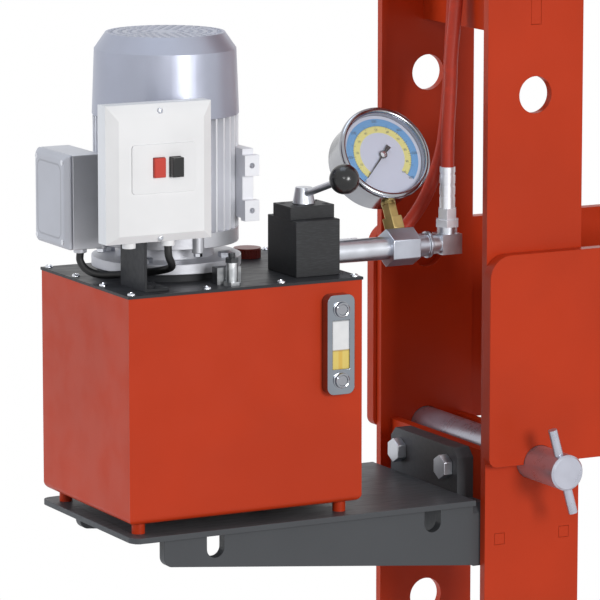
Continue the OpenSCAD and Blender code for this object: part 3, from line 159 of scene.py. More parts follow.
class Finish:
    """One procedural material: a node tree that ends in the Principled shader."""

    def __init__(self, name):
        self.material = bpy.data.materials.new(name)
        self.material.use_nodes = True
        self.tree = self.material.node_tree
        self.shader = self.tree.nodes["Principled BSDF"]
        self.place = self.node("ShaderNodeTexCoord", output="Object")

    def node(self, kind, settings=None, sockets=None, output=0):
        """Adds a node: its settings come first, then the values or links of its sockets."""
        made = self.tree.nodes.new(kind)
        for name, value in (settings or {}).items():
            setattr(made, name, value)
        for key, value in (sockets or {}).items():
            self.feed(made.inputs[key], value)
        return Term(self, made.outputs[output])

    def feed(self, socket, value):
        if isinstance(value, Term):
            self.tree.links.new(value.socket, socket)
        else:
            socket.default_value = value

    def set(self, **values):
        """Sets or links the shader's sockets, named with _ for a space."""
        for name, value in values.items():
            words = name.replace("_", " ").title().replace("Ior", "IOR")
            self.feed(self.shader.inputs[words], value)
        return self.material

    def noise(self, scale, detail=2, stretch=None, turn=(0, 0, 0)):
        """Cloud noise over the piece; stretch and turn draw it out along a direction."""
        place = self.place
        if stretch:
            place = self.node("ShaderNodeMapping", {}, {"Vector": place, "Scale": stretch, "Rotation": turn})
        return self.node("ShaderNodeTexNoise", {}, {"Vector": place, "Scale": scale, "Detail": detail})

    def cloud(self, scale):
        """Soft patches from 0 to 1: noise with its middle values drawn apart."""
        return self.noise(scale, 3).ramp(0.3, 0.7)

    def blend(self, factor, first, second):
        return self.node("ShaderNodeMix", {"data_type": "RGBA"}, {0: factor, 6: first, 7: second}, 2)

    def tones(self, factor, colour, dark, light):
        """One colour that runs from its darker to its lighter shade."""
        return self.blend(factor, shade_of(colour, dark), shade_of(colour, light))

    def bump(self, height, strength, distance):
        """Normal of a height field; the distance is in millimetres."""
        return self.node("ShaderNodeBump", {},
                         {"Strength": strength, "Distance": distance * MM, "Height": height})

    def axis(self, name):
        """One coordinate of the piece, in metres."""
        return self.node("ShaderNodeSeparateXYZ", {}, {"Vector": self.place}, name)


# Finishes
def enamel(name, colour, roughness, level, peel=0.12, streak=None):
    """Sprayed enamel: slow colour drift, orange-peel bump, gloss that drifts with rubbed patches."""
    finish = Finish(name)
    grain = finish.noise(1300)
    tone = finish.tones(finish.cloud(7), colour, 0.93, 1.05)
    tone = finish.blend(grain.ramp(0.35, 0.75) * 0.10, tone, shade_of(colour, 1.35))
    rubbed = finish.noise(26, 4, streak).ramp(0.35, 0.75)
    height = finish.noise(340) + grain * 0.25
    return finish.set(base_color=tone, roughness=roughness + rubbed * 0.12 - 0.06,
                      specular_ior_level=level, normal=finish.bump(height, peel, 0.3))


def plate_metal(name, colour, roughness, scale=60, stretch=(14, 14, 14), lines=0.08, metallic=1.0):
    """Bare or plated metal: cloudy plating and fine drawn lines along one direction."""
    finish = Finish(name)
    cloud = finish.noise(scale, 4).ramp(0.3, 0.72)
    fine = finish.noise(40, 3, stretch)
    tone = finish.tones(cloud, colour, 0.93, 1.04)
    rough = roughness + cloud * 0.05 + fine * lines - 0.04
    return finish.set(base_color=tone, metallic=metallic, roughness=rough,
                      normal=finish.bump(fine, lines, 0.2))


def moulded(name, colour, roughness, grain=0.06, level=0.4):
    """Moulded plastic: even colour with a faint flow cloud and a fine spark-eroded grain."""
    finish = Finish(name)
    cloud = finish.cloud(12)
    pits = finish.noise(2600)
    return finish.set(base_color=finish.tones(cloud, colour, 0.96, 1.03),
                      roughness=roughness + cloud * 0.08 - 0.04,
                      specular_ior_level=level, normal=finish.bump(pits, grain, 0.2))


def silver_enamel(name, colour, metallic, roughness, casting):
    """Aluminium paint on a casting: flake sparkle, slow tone drift and the casting's skin as bump."""
    finish = Finish(name)
    drift = finish.cloud(14)
    flake = finish.noise(3200, 1).ramp(0.45, 0.8)
    skin = finish.noise(520, 3)
    tone = finish.tones(drift, colour, 0.93, 1.04)
    tone = finish.blend(flake * 0.22, tone, shade_of(colour, 1.3))
    return finish.set(base_color=tone, metallic=metallic,
                      roughness=roughness + drift * 0.08 - flake * 0.06,
                      normal=finish.bump(skin, casting, 0.4))


def pressed_lid(name, colour, low, high):
    """Aluminium paint on a lid that faces along X, with a pressed line on a rounded rectangle inside its rim,
    darkened there as painted shade of the groove.

    The distance to the rectangle is the length of what lies past its straight sides, less the corner radius.
    """
    finish = Finish(name)
    rim, corner = 11 * MM, 8 * MM

    def past(axis, start, end):
        offset = finish.axis(axis) - (start + end) / 2
        return (abs(offset) - ((end - start) / 2 - rim - corner)).at_least(0)

    aside, over = past("Y", low.y, high.y), past("Z", low.z, high.z)
    line = 1 - abs((aside * aside + over * over) ** 0.5 - corner).ramp(0.3 * MM, 1.6 * MM)
    drift = finish.cloud(14)
    skin = finish.noise(520, 3)
    tone = finish.tones(drift, colour, 0.94, 1.04)
    # painted shade: the pressed groove is darkened to less than half the paint's tone
    tone = finish.blend(line * 0.4, tone, shade_of(colour, 0.45))
    return finish.set(base_color=tone, metallic=0.5, roughness=0.40 + drift * 0.08,
                      normal=finish.bump(skin * 0.1 - line, 0.5, 0.8))


def black_oxide(name):
    """Blackened block: machining lines at a slant show through the oxide as gloss and height."""
    finish = Finish(name)
    slant = (0.0, math.radians(38), 0.0)
    lines = finish.noise(55, 5, (2.5, 2.5, 20), slant)
    tone = finish.blend(lines.ramp(0.4, 0.75), rgb(34, 35, 37), rgb(52, 53, 56))
    tone = finish.blend(finish.cloud(22) * 0.35, tone, rgb(24, 24, 27))
    return finish.set(base_color=tone, roughness=0.42 + lines * 0.16, specular_ior_level=0.35,
                      normal=finish.bump(lines, 0.14, 0.3))


def hose_cover(name, colour):
    """Wrapped hose cover: a sine of the length along the hose gives its cloth marks, with a few scuffs."""
    finish = Finish(name)
    radians_per_metre = 2400
    along = finish.node("ShaderNodeAttribute", {"attribute_name": "along"}, output="Fac")
    wrap = finish.node("ShaderNodeMath", {"operation": "SINE"}, {0: along * radians_per_metre})
    scuff = finish.noise(90, 4).ramp(0.5, 0.75)
    cloth = finish.noise(1500)
    return finish.set(base_color=finish.tones(scuff * 0.5, colour, 0.88, 1.25),
                      roughness=0.46 + scuff * 0.16, specular_ior_level=0.28,
                      normal=finish.bump(wrap * 0.5 + cloth, 0.18, 0.3))


def clear_sheet(name):
    """Thin clear sheet: nearly see-through, with faint dust in its gloss."""
    finish = Finish(name)
    dust = finish.noise(60, 4)
    return finish.set(base_color=rgb(236, 242, 246), roughness=0.03 + dust * 0.05, alpha=0.05)


def sight_tube(name, level, low, high):
    """Oil gauge: pale tube above the oil level, amber oil below with a darker middle, and painted shade of the
    window's recess along its left and top rims.
    """
    finish = Finish(name)
    height = finish.axis("Z")
    aside = finish.axis("X")
    across = aside - (low.x + high.x) / 2
    rim_shade_left = 1 - aside.ramp(low.x + 0.5 * MM, low.x + 2.1 * MM)
    rim_shade_top = height.ramp(high.z - 2.2 * MM, high.z - 0.6 * MM)
    oil = 1 - height.ramp(level - 0.4 * MM, level + 0.4 * MM)
    meniscus = height.ramp(level - 2.2 * MM, level - 0.2 * MM) * (1 - height.ramp(level, level + 1.2 * MM))
    core = 1 - (across * across).ramp(1.5 * MM ** 2, 9 * MM ** 2)
    pale = finish.blend(finish.noise(80, 3), rgb(214, 216, 218), rgb(238, 238, 238))
    amber = finish.blend(core * 0.75, rgb(222, 196, 92), rgb(214, 170, 44))
    tone = finish.blend(oil, pale, amber)
    tone = finish.blend(meniscus * 0.6, tone, rgb(150, 118, 48))
    # painted shade: the recess round the window darkens its left and top rims
    tone = finish.blend(rim_shade_left.at_least(rim_shade_top) * 0.75, tone, rgb(96, 98, 100))
    return finish.set(base_color=tone, roughness=0.12, coat_weight=1.0, coat_roughness=0.04)


# Rings of the dial in millimetres, and half the sweep of its scales
DIAL_OUTER = 43.0
DIAL_BAND = 34.4
DIAL_INNER = 26.6
DIAL_SWEEP = math.radians(135)


def dial_print(name):
    """Printed dial: two coloured bands over three quarters of a turn, with fine and long division lines.

    The attribute gives a point's place on the dial in millimetres; radius and angle come from it.
    """
    finish = Finish(name)
    spot = finish.node("ShaderNodeAttribute", {"attribute_name": "dial"}, output="Vector")
    radius = finish.node("ShaderNodeVectorMath", {"operation": "LENGTH"}, {0: spot}, "Value")
    across = finish.node("ShaderNodeSeparateXYZ", {}, {"Vector": spot}, "X")
    up = finish.node("ShaderNodeSeparateXYZ", {}, {"Vector": spot}, "Y")
    angle = finish.node("ShaderNodeMath", {"operation": "ARCTAN2"}, {0: across, 1: up})

    def band(value, low, high, soft=0.12):
        return value.ramp(low - soft, low + soft) * (1 - value.ramp(high - soft, high + soft))

    def divisions(count, width):
        """1 on a division line: the distance to the nearest line, measured along the arc."""
        pitch = 2 * DIAL_SWEEP / count
        turn = finish.node("ShaderNodeMath", {"operation": "PINGPONG"},
                           {0: angle + 2 * DIAL_SWEEP, 1: pitch / 2})
        return 1 - (turn * radius).ramp(width * 0.6, width * 1.4)

    scale = band(angle, -DIAL_SWEEP, DIAL_SWEEP, 0.006)
    inside_sweep = band(angle, -DIAL_SWEEP - 0.02, DIAL_SWEEP + 0.02, 0.004)
    paper = finish.blend(finish.noise(400, 3), rgb(194, 198, 216), rgb(206, 210, 226))
    tone = finish.blend(band(radius, DIAL_BAND, DIAL_OUTER) * scale, paper, rgb(98, 158, 212))
    tone = finish.blend(band(radius, DIAL_INNER, DIAL_BAND) * scale, tone, rgb(226, 218, 132))
    fine = divisions(60, 0.13) * band(radius, DIAL_BAND - 1.3, DIAL_BAND + 1.3)
    long = divisions(12, 0.2) * band(radius, DIAL_BAND - 2.2, DIAL_BAND + 2.6)
    edge = band(radius, DIAL_BAND - 0.16, DIAL_BAND + 0.16, 0.08) * scale
    tone = finish.blend(fine.at_least(long) * inside_sweep, tone, rgb(30, 48, 60))
    tone = finish.blend(edge * 0.8, tone, rgb(52, 96, 96))
    return finish.set(base_color=tone, roughness=0.5, specular_ior_level=0.3)


def relief_finish(name, face, crown):
    """Relief valve: plated stem, with a blackened carrier behind its face and a blackened cap above its crown."""
    finish = Finish(name)
    blur = 0.2 * MM
    behind = finish.axis("Y").ramp(face - blur, face + blur)
    above = finish.axis("Z").ramp(crown - blur, crown + blur)
    dark = behind.at_least(above)
    cloud = finish.cloud(120)
    bright = finish.blend(cloud, rgb(172, 175, 178), rgb(204, 206, 208))
    black = finish.blend(cloud, rgb(44, 46, 49), rgb(62, 64, 68))
    tone = finish.blend(dark, bright, black)
    return finish.set(base_color=tone, metallic=1 - dark, roughness=0.28 + cloud * 0.14)


OIL_LEVEL = 0.9115
relief_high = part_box("relief_valve")[1]
RELIEF_FACE = relief_high.y - 12 * MM
RELIEF_CROWN = relief_high.z - 10 * MM
box_lid_low, box_lid_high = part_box("terminal_box_lid")
finishes = {
    "red_paint": enamel("red_enamel", rgb(184, 54, 20), 0.40, 0.20),
    "shelf_paint": enamel("shelf_enamel", rgb(74, 76, 79), 0.46, 0.22, 0.10, (1.2, 9, 9)),
    "black_paint": enamel("black_enamel", rgb(44, 45, 48), 0.44, 0.22, 0.10, (2, 7, 7)),
    "steel": plate_metal("zinc_plate", rgb(196, 199, 206), 0.30),
    "bright_chrome": plate_metal("chrome_plate", rgb(214, 217, 224), 0.12, 30, lines=0.03),
    "motor_grey": silver_enamel("silver_enamel", rgb(168, 172, 187), 0.66, 0.35, 0.05),
    "white_plastic": moulded("white_plastic", rgb(236, 236, 237), 0.42),
    "red_plastic": moulded("red_plastic", rgb(196, 58, 44), 0.38),
    "black_plastic": moulded("black_plastic", rgb(24, 24, 25), 0.22, 0.03, 0.5),
    "cap_plastic": moulded("cap_plastic", rgb(112, 36, 30), 0.34, 0.10),
    "brass": plate_metal("brass", rgb(190, 168, 112), 0.34, 140),
    "clear": clear_sheet("gauge_glass"),
    "hose_rubber": hose_cover("hose_cover", rgb(180, 58, 40)),
    "lead_rubber": moulded("lead_sheath", rgb(24, 24, 25), 0.48, 0.12),
}
turned_steel = plate_metal("turned_steel", rgb(186, 188, 200), 0.26, 40, (6, 90, 6), 0.10, 0.72)
cast_silver = silver_enamel("cast_silver", rgb(200, 201, 207), 0.55, 0.40, 0.22)
stainless = plate_metal("stainless_case", rgb(158, 160, 166), 0.16, 50, (9, 9, 60), 0.04)

# Nodes whose finish differs from that of their slot
special = {
    "left_pin": turned_steel,
    "right_pin": turned_steel,
    "ram_rod": finishes["bright_chrome"],
    "motor_flange": cast_silver,
    "motor_housing": silver_enamel("fin_silver", rgb(232, 233, 238), 0.15, 0.44, 0.08),
    "hose_fittings": plate_metal("fitting_zinc", rgb(232, 234, 240), 0.34, metallic=0.6),
    "sight_glass_frame": plate_metal("mirror_plate", rgb(138, 144, 152), 0.12, 30, lines=0.03),
    "terminal_box": cast_silver,
    "terminal_box_lid": pressed_lid("pressed_lid", rgb(186, 188, 196), box_lid_low, box_lid_high),
    "valve_body": black_oxide("valve_oxide"),
    "valve_cap": black_oxide("cap_oxide"),
    "relief_valve": relief_finish("relief_metal", RELIEF_FACE, RELIEF_CROWN),
    "tee": plate_metal("tee_metal", rgb(174, 178, 188), 0.30),
    "sight_glass_window": sight_tube("sight_tube", OIL_LEVEL, *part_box("sight_glass_window")),
    "gauge_needle": finishes["black_plastic"],
}


def finish_of(node):
    return special.get(node) or finishes[slot_of[node]]


# Meshes
SAME_POINT = 1e-7
SAME_CORNER = 2e-6
FLAT_ANGLE = 0.6
SMOOTH_ANGLE = 32
EDGE_ANGLE = 28
EDGE_SEGMENTS = 2


def shade(mesh, angle):
    """Smooth shading, with a hard line only where faces meet at more than the angle."""
    mesh.shade_smooth()
    mesh.set_sharp_from_angle(angle=math.radians(angle))


def surface(name, grid):
    """Mesh of grid points [copy, row, column]: quads join neighbours, columns wrap, end rows are capped."""
    copies, rows, columns = grid.shape[:3]
    index = np.arange(copies * rows * columns).reshape(copies, rows, columns)
    beside = np.roll(index, -1, axis=2)
    quads = np.stack([index[:, :-1], beside[:, :-1], beside[:, 1:], index[:, 1:]], axis=-1)
    faces = quads.reshape(-1, 4).tolist() + index[:, 0, ::-1].tolist() + index[:, -1].tolist()
    mesh = bpy.data.meshes.new(name)
    mesh.from_pydata(grid.reshape(-1, 3).tolist(), [], faces)
    work = bmesh.new()
    work.from_mesh(mesh)
    bmesh.ops.remove_doubles(work, verts=work.verts, dist=SAME_POINT)
    bmesh.ops.recalc_face_normals(work, faces=work.faces)
    work.to_mesh(mesh)
    work.free()
    shade(mesh, SMOOTH_ANGLE)
    return mesh


def turned(profile, places, axis, sides):
    """A profile of (radius, height) in millimetres carried round an axis through each place."""
    profile = np.asarray(profile, float) * MM
    angle = np.linspace(0, TURN, sides, endpoint=False) + math.pi / sides
    up = np.asarray(axis, float) / np.linalg.norm(axis)
    side = np.cross(up, (0.0, 1.0, 0.0) if abs(up[1]) < 0.9 else (1.0, 0.0, 0.0))
    side /= np.linalg.norm(side)
    ring = np.cos(angle)[:, None] * side + np.sin(angle)[:, None] * np.cross(up, side)
    shape = profile[:, 1, None, None] * up + profile[:, 0, None, None] * ring
    return np.asarray(places, float)[:, None, None, :] + shape


def smooth_route(points, steps):
    """Catmull-Rom curve: each span is a cubic of its two ends and their two neighbours."""
    knots = np.asarray(points, float) * MM
    knots = np.vstack([2 * knots[0] - knots[1], knots, 2 * knots[-1] - knots[-2]])
    t = np.linspace(0, 1, steps, endpoint=False)[None, :, None]
    a, b, c, d = (knots[i:len(knots) - 3 + i, None, :] for i in range(4))
    spans = b + 0.5 * t * (c - a + t * (2 * a - 5 * b + 4 * c - d + t * (3 * (b - c) + d - a)))
    return np.vstack([spans.reshape(-1, 3), knots[-2]])


def swept(path, radius, sides, side):
    """Circles of one radius carried square to a path; side fixes where each circle starts."""
    tangent = np.gradient(path, axis=0)
    tangent /= np.linalg.norm(tangent, axis=1, keepdims=True)
    first = np.cross(tangent, side)
    first /= np.linalg.norm(first, axis=1, keepdims=True)
    second = np.cross(tangent, first)
    angle = np.linspace(0, TURN, sides, endpoint=False)
    ring = np.cos(angle)[:, None] * first[:, None] + np.sin(angle)[:, None] * second[:, None]
    return (path[:, None] + radius * ring)[None]


def points_of(mesh):
    flat = np.empty(3 * len(mesh.vertices))
    mesh.vertices.foreach_get("co", flat)
    return flat.reshape(-1, 3)


def add_piece(name, mesh, body, material):
    made = bpy.data.objects.new(name, mesh)
    scene.collection.objects.link(made)
    mesh.materials.clear()
    mesh.materials.append(material)
    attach(made, body)
    return made


def add_turned(name, profile, places, axis, sides, material, body="frame"):
    """One piece made of a profile turned at each place."""
    return add_piece(name, surface(name, turned(profile, places, axis, sides)), body, material)


def softened(node, width):
    """A copy of a solid with its flat facets joined and each sharp edge rounded to the width in millimetres."""
    work = bmesh.new()
    work.from_mesh(nodes[node].data)
    bmesh.ops.remove_doubles(work, verts=work.verts, dist=SAME_CORNER)
    bmesh.ops.dissolve_limit(work, angle_limit=math.radians(FLAT_ANGLE), verts=work.verts, edges=work.edges)
    mesh = bpy.data.meshes.new(node + "_skin")
    work.to_mesh(mesh)
    work.free()
    mesh.polygons.foreach_set("material_index", np.zeros(len(mesh.polygons), np.int32))
    shade(mesh, EDGE_ANGLE)
    made = add_piece(node + "_skin", mesh, nodes[node]["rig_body"], finish_of(node))
    edge = made.modifiers.new("edges", "BEVEL")
    edge.width = width * MM
    edge.segments = EDGE_SEGMENTS
    edge.limit_method = "ANGLE"
    edge.angle_limit = math.radians(EDGE_ANGLE)
    even = made.modifiers.new("even_shading", "WEIGHTED_NORMAL")
    even.keep_sharp = True
    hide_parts(node)


# Camera and cords come first
def make_camera():
    data = bpy.data.cameras.new("camera")
    data.lens = CAMERA_LENS
    data.sensor_width = CAMERA_SENSOR
    data.clip_end = CAMERA_REACH
    camera = bpy.data.objects.new("camera", data)
    camera.location = CAMERA_PLACE
    camera.rotation_euler = (math.radians(90 - CAMERA_PITCH), 0, math.radians(-CAMERA_YAW))
    scene.collection.objects.link(camera)
    scene.camera = camera


def make_cord(node, route, diameter, side, slot):
    """A round cord swept along the smoothed route, with its length along it kept as an attribute."""
    path = smooth_route(route, ROUTE_STEPS)
    mesh = surface(node + "_tube", swept(path, diameter / 2, CORD_SIDES, side))
    steps = np.linalg.norm(np.diff(path, axis=0), axis=1)
    along = np.concatenate([[0], np.cumsum(steps)])
    nearest = np.argmin(((points_of(mesh)[:, None] - path[None]) ** 2).sum(2), axis=1)
    mesh.attributes.new("along", "FLOAT", "POINT").data.foreach_set("value", along[nearest])
    cord = add_piece(node + "_tube", mesh, "frame", finishes[slot])
    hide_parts(node)


make_camera()
make_cord("hose_a", HOSE_A_ROUTE, HOSE_DIAMETER, (0, 1, 0), "hose_rubber")
make_cord("hose_b", HOSE_B_ROUTE, HOSE_DIAMETER, (0, 1, 0), "hose_rubber")
make_cord("motor_lead", LEAD_ROUTE, LEAD_DIAMETER, (1, 1, 0), "lead_rubber")

# Solids that keep their form and get rounded edges, with the edge width in millimetres
EDGES = {
    "column_front_left": 1.0, "column_rear_left": 1.0, "column_front_right": 1.0, "column_rear_right": 1.0,
    "column_ties": 0.8, "foot_left": 1.5, "foot_right": 1.5, "base_beam": 1.0,
    "crosshead_front": 1.5, "crosshead_rear": 1.5, "crosshead_spacers": 1.0, "cylinder_mount": 1.5,
    "cylinder_barrel": 2.0, "cylinder_gland": 1.0, "ram_nose": 1.0, "bed_front": 1.2, "bed_rear": 1.2,
    "bed_spacers": 1.0, "bed_bolts": 0.8, "frame_bolts": 0.8, "left_pin": 0.6, "right_pin": 0.6,
    "shelf_plate": 1.0, "shelf_frame": 1.0, "tank": 2.4, "tank_lid": 0.6, "sight_glass_frame": 0.9,
    "filler_cap": 0.5, "motor_flange": 1.2, "motor_housing": 0.6, "fan_cowl": 0.9, "terminal_box": 2.5,
    "terminal_box_lid": 1.6, "switch_box": 1.3, "stop_button": 0.8, "start_button": 0.8,
    "switch_bracket": 0.4, "valve_body": 0.9, "valve_cap": 0.9, "valve_lever": 1.2, "relief_valve": 0.5,
    "tee": 0.9, "elbow": 2.2, "hose_fittings": 0.5, "gauge_adapter": 0.6,
}
for node, width in EDGES.items():
    softened(node, width)
for node, solid in nodes.items():
    for place in solid.material_slots:
        place.material = finish_of(node)

# Fasteners: profiles of (radius, height) in millimetres
PAN_HEAD = [(0, 1.5), (1.5, 1.5), (1.8, 2.9), (2.7, 2.8), (3.6, 2.2), (4.2, 1.3), (4.4, 0.5), (4.4, 0), (0, 0)]
SMALL_HEAD = [(0, 0.7), (1.0, 0.7), (1.2, 1.9), (2.0, 1.8), (2.7, 1.3), (3.0, 0.6), (3.0, -0.6), (0, -0.6)]
FLAT_HEAD = [(radius, height * 0.25) for radius, height in SMALL_HEAD]
SOCKET_HEAD = [(0, 1.0), (2.0, 1.0), (2.1, 3.6), (3.2, 3.7), (3.6, 3.3), (3.6, 0), (0, 0)]
SIGHT_HEAD = [(0, 3.4), (5.2, 3.4), (5.9, 4.6), (7.0, 4.9), (8.0, 4.2), (8.4, 3.0), (8.5, 0.9), (9.2, 0.7),
              (9.2, 0), (0, 0)]
HEX_SIDES, SCREW_SIDES, ROUND_SIDES = 6, 24, 96


def hexagon(flats, height):
    """Six-sided head with a chamfered rim; with six columns the turned profile is a hexagon."""
    corner = flats / math.sqrt(3)
    return [(0, 0), (corner, 0), (corner, height * 0.82), (corner * 0.86, height), (0, height)]


def corners(first, second, inset):
    """Four pairs from the ends of two ranges, each end drawn in by the inset."""
    return [(a, b) for a in (first[0] + inset, first[1] - inset) for b in (second[0] + inset, second[1] - inset)]


# Tank: lid screws and sight-glass bolts
LID_THICKNESS = 3 * MM
LID_SCREW_INSET = 6 * MM
LID_SCREW_COUNT = 4
LID_SCREW_SIDES = 20
SIGHT_BOLT_REACH = 38 * MM
SIGHT_BOLT_SIDES = 40
tank_low, tank_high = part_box("tank")
LID_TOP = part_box("tank_lid")[0].z + LID_THICKNESS


def lid_screw_places():
    """Screws evenly spaced along the four edges of the lid, the corners shared."""
    x = np.linspace(tank_low.x + LID_SCREW_INSET, tank_high.x - LID_SCREW_INSET, LID_SCREW_COUNT)
    y = np.linspace(tank_low.y + LID_SCREW_INSET, tank_high.y - LID_SCREW_INSET, LID_SCREW_COUNT)
    return [(a, b, LID_TOP) for a in x for b in y if a in (x[0], x[-1]) or b in (y[0], y[-1])]


lid_screws = add_turned("lid_screws", PAN_HEAD, lid_screw_places(), UP, LID_SCREW_SIDES,
                        finishes["bright_chrome"])
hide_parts("tank_screws")

sight_low, sight_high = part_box("sight_glass_frame")
SIGHT_X = (sight_low.x + sight_high.x) / 2
SIGHT_Z = (sight_low.z + sight_high.z) / 2
sight_places = [(SIGHT_X, sight_low.y, SIGHT_Z + side * SIGHT_BOLT_REACH) for side in (-1, 1)]
add_turned("sight_bolts", SIGHT_HEAD, sight_places, FORWARD, SIGHT_BOLT_SIDES, stainless)

# Motor: flange bolts between its lugs, lug bolts from below
FLANGE_THICKNESS = 11 * MM
FLANGE_BOLT_REACH = 66 * MM
LUG_LEVEL = 22 * MM
LUG_REACH = 76.5 * MM
fan_low, fan_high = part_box("motor_fan")
MOTOR_X = (fan_low.x + fan_high.x) / 2
MOTOR_Y = (fan_low.y + fan_high.y) / 2
FLANGE_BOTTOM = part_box("motor_flange")[0].z


def around_motor(reach, start, level):
    """Four places round the motor's axis, a quarter turn apart from a start angle in degrees."""
    angle = np.radians(start + 90 * np.arange(4))
    return np.column_stack([MOTOR_X + reach * np.cos(angle), MOTOR_Y + reach * np.sin(angle),
                            np.full(4, FLANGE_BOTTOM + level)])


flange_places = around_motor(FLANGE_BOLT_REACH, 45, FLANGE_THICKNESS)
add_turned("flange_bolts", hexagon(13, 5.4), flange_places, UP, HEX_SIDES, finishes["steel"])
lug_places = around_motor(LUG_REACH, 0, LUG_LEVEL)
add_turned("lug_bolts", hexagon(8, 4.5), lug_places, DOWN, HEX_SIDES, finishes["bright_chrome"])

# Shelf: screws from below into the feet of the tank
FOOT_INSET = 18 * MM
shelf_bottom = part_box("shelf_plate")[0].z
foot_corners = corners((tank_low.x, tank_high.x), (tank_low.y, tank_high.y), FOOT_INSET)
foot_places = [(x, y, shelf_bottom) for x, y in foot_corners]
add_turned("foot_screws", hexagon(12, 5.2), foot_places, DOWN, HEX_SIDES, finishes["steel"])

# Switch box: bracket studs and the two cover screws, each sunk in its seat
BRACKET_THICKNESS = 3 * MM
BRACKET_OFFSET = 6.5 * MM
STUD_OFFSETS = [(8 * MM, 8 * MM), (15 * MM, 22 * MM)]
UPPER_SEAT, UPPER_INSET = 5.2 * MM, 7.5 * MM
LOWER_SEAT, LOWER_INSET = 5.6 * MM, 10.5 * MM
box_low, box_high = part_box("switch_box")
SWITCH_X = (box_low.x + box_high.x) / 2
BRACKET_X = SWITCH_X - BRACKET_OFFSET
BRACKET_TOP = LID_TOP + BRACKET_THICKNESS
stud_places = [(BRACKET_X + x, box_high.y + y, BRACKET_TOP) for x, y in STUD_OFFSETS]
add_turned("bracket_studs", hexagon(9, 3.9), stud_places, UP, HEX_SIDES, finishes["black_paint"])
switch_places = [(SWITCH_X, box_low.y + UPPER_SEAT, box_high.z - UPPER_INSET),
                 (SWITCH_X, box_low.y + LOWER_SEAT, box_low.z + LOWER_INSET)]
add_turned("switch_screws", SMALL_HEAD, switch_places, FORWARD, SCREW_SIDES, finishes["steel"])

# Terminal box and valve cap: a screw in each corner
BOX_SCREW_INSET = 8 * MM
CAP_SCREW_INSET = 7 * MM
CAP_SCREW_SEAT = 3.2 * MM
box_corners = corners((box_lid_low.y, box_lid_high.y), (box_lid_low.z, box_lid_high.z), BOX_SCREW_INSET)
box_screw_places = [(box_lid_low.x, y, z) for y, z in box_corners]
add_turned("terminal_screws", FLAT_HEAD, box_screw_places, LEFT, SCREW_SIDES, finishes["bright_chrome"])
cap_low, cap_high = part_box("valve_cap")
cap_corners = corners((cap_low.x, cap_high.x), (cap_low.y, cap_high.y), CAP_SCREW_INSET)
cap_places = [(x, y, cap_high.z - CAP_SCREW_SEAT) for x, y in cap_corners]
add_turned("cap_screws", SOCKET_HEAD, cap_places, UP, SCREW_SIDES, special["valve_cap"])

# Gauge: its axes, and profiles along the way back from its face or up from its centre
GAUGE_LEAN = math.radians(30)
GAUGE_UP = np.array([0.0, math.sin(GAUGE_LEAN), math.cos(GAUGE_LEAN)])
GAUGE_BACK = np.array([0.0, math.cos(GAUGE_LEAN), -math.sin(GAUGE_LEAN)])
GAUGE_RIGHT = np.cross(GAUGE_BACK, GAUGE_UP)
DIAL_SETBACK = 10.75 * MM
HUB_SETBACK = 6.6 * MM
FACE_REACH = 23.7 * MM
NUMBER_LIFT = 0.85 * MM
dial_low, dial_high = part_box("gauge_dial")
DIAL_CENTRE = np.array((dial_low + dial_high) / 2)
GAUGE_FACE = DIAL_CENTRE - DIAL_SETBACK * GAUGE_BACK
GAUGE_CENTRE = GAUGE_FACE + FACE_REACH * GAUGE_BACK
CASE = [(0, 41), (46.6, 41), (47, 40), (47, 3.2), (47.5, 3.1), (47.5, 1.6), (47.9, 0.6), (48.9, 0.1), (50.4, 0),
        (51.9, 0.5), (52.9, 1.5), (53.4, 3), (53.5, 5), (53.3, 7), (52.6, 8.4), (51.4, 9), (50.2, 9.2), (50, 9.8),
        (50, 41.5), (49.4, 43), (48, 43.8), (46, 44), (0, 44)]
BOSS = [(0, -53), (7.6, -53), (8, -52.6), (8, -48.5), (0, -48.5)]
PLATE = [(radius, -0.75) for radius in (0, 10, 20, 30, 40, 46.5)] + [(46.9, -0.4), (46.9, 0.75), (0, 0.75)]
HUB = [(0, -0.9), (1.5, -0.9), (2.3, -0.5), (3.2, -0.5), (3.6, -0.1), (3.6, 0.3), (0, 0.3)]
BOSS_SIDES = 32

case = add_turned("gauge_shell", CASE, [GAUGE_FACE], GAUGE_BACK, ROUND_SIDES, stainless)
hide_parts("gauge_case")
add_turned("gauge_boss", BOSS, [GAUGE_CENTRE], GAUGE_UP, BOSS_SIDES, finishes["brass"])

plate_mesh = surface("dial_plate", turned(PLATE, [DIAL_CENTRE], GAUGE_BACK, ROUND_SIDES))
offset = (points_of(plate_mesh) - DIAL_CENTRE) / MM
spots = np.column_stack([offset @ GAUGE_RIGHT, offset @ GAUGE_UP, np.zeros(len(offset))])
plate_mesh.attributes.new("dial", "FLOAT_VECTOR", "POINT").data.foreach_set("vector", spots.ravel())
plate = add_piece("dial_plate", plate_mesh, "frame", dial_print("dial_print"))
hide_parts("gauge_dial")


def number_mesh(words, size, radius, angle):
    """A flat number set upright on the dial, its middle at a radius and an angle from the top."""
    curve = bpy.data.curves.new("number", "FONT")
    curve.body = words
    curve.size = size * MM
    curve.align_x = "CENTER"
    curve.align_y = "CENTER"
    holder = bpy.data.objects.new("number", curve)
    flat = bpy.data.meshes.new_from_object(holder)
    points = points_of(flat)
    bpy.data.objects.remove(holder)
    middle = DIAL_CENTRE + radius * MM * (math.sin(angle) * GAUGE_RIGHT + math.cos(angle) * GAUGE_UP)
    lift = middle - NUMBER_LIFT * GAUGE_BACK
    return flat, lift + points[:, :1] * GAUGE_RIGHT + points[:, 1:2] * GAUGE_UP


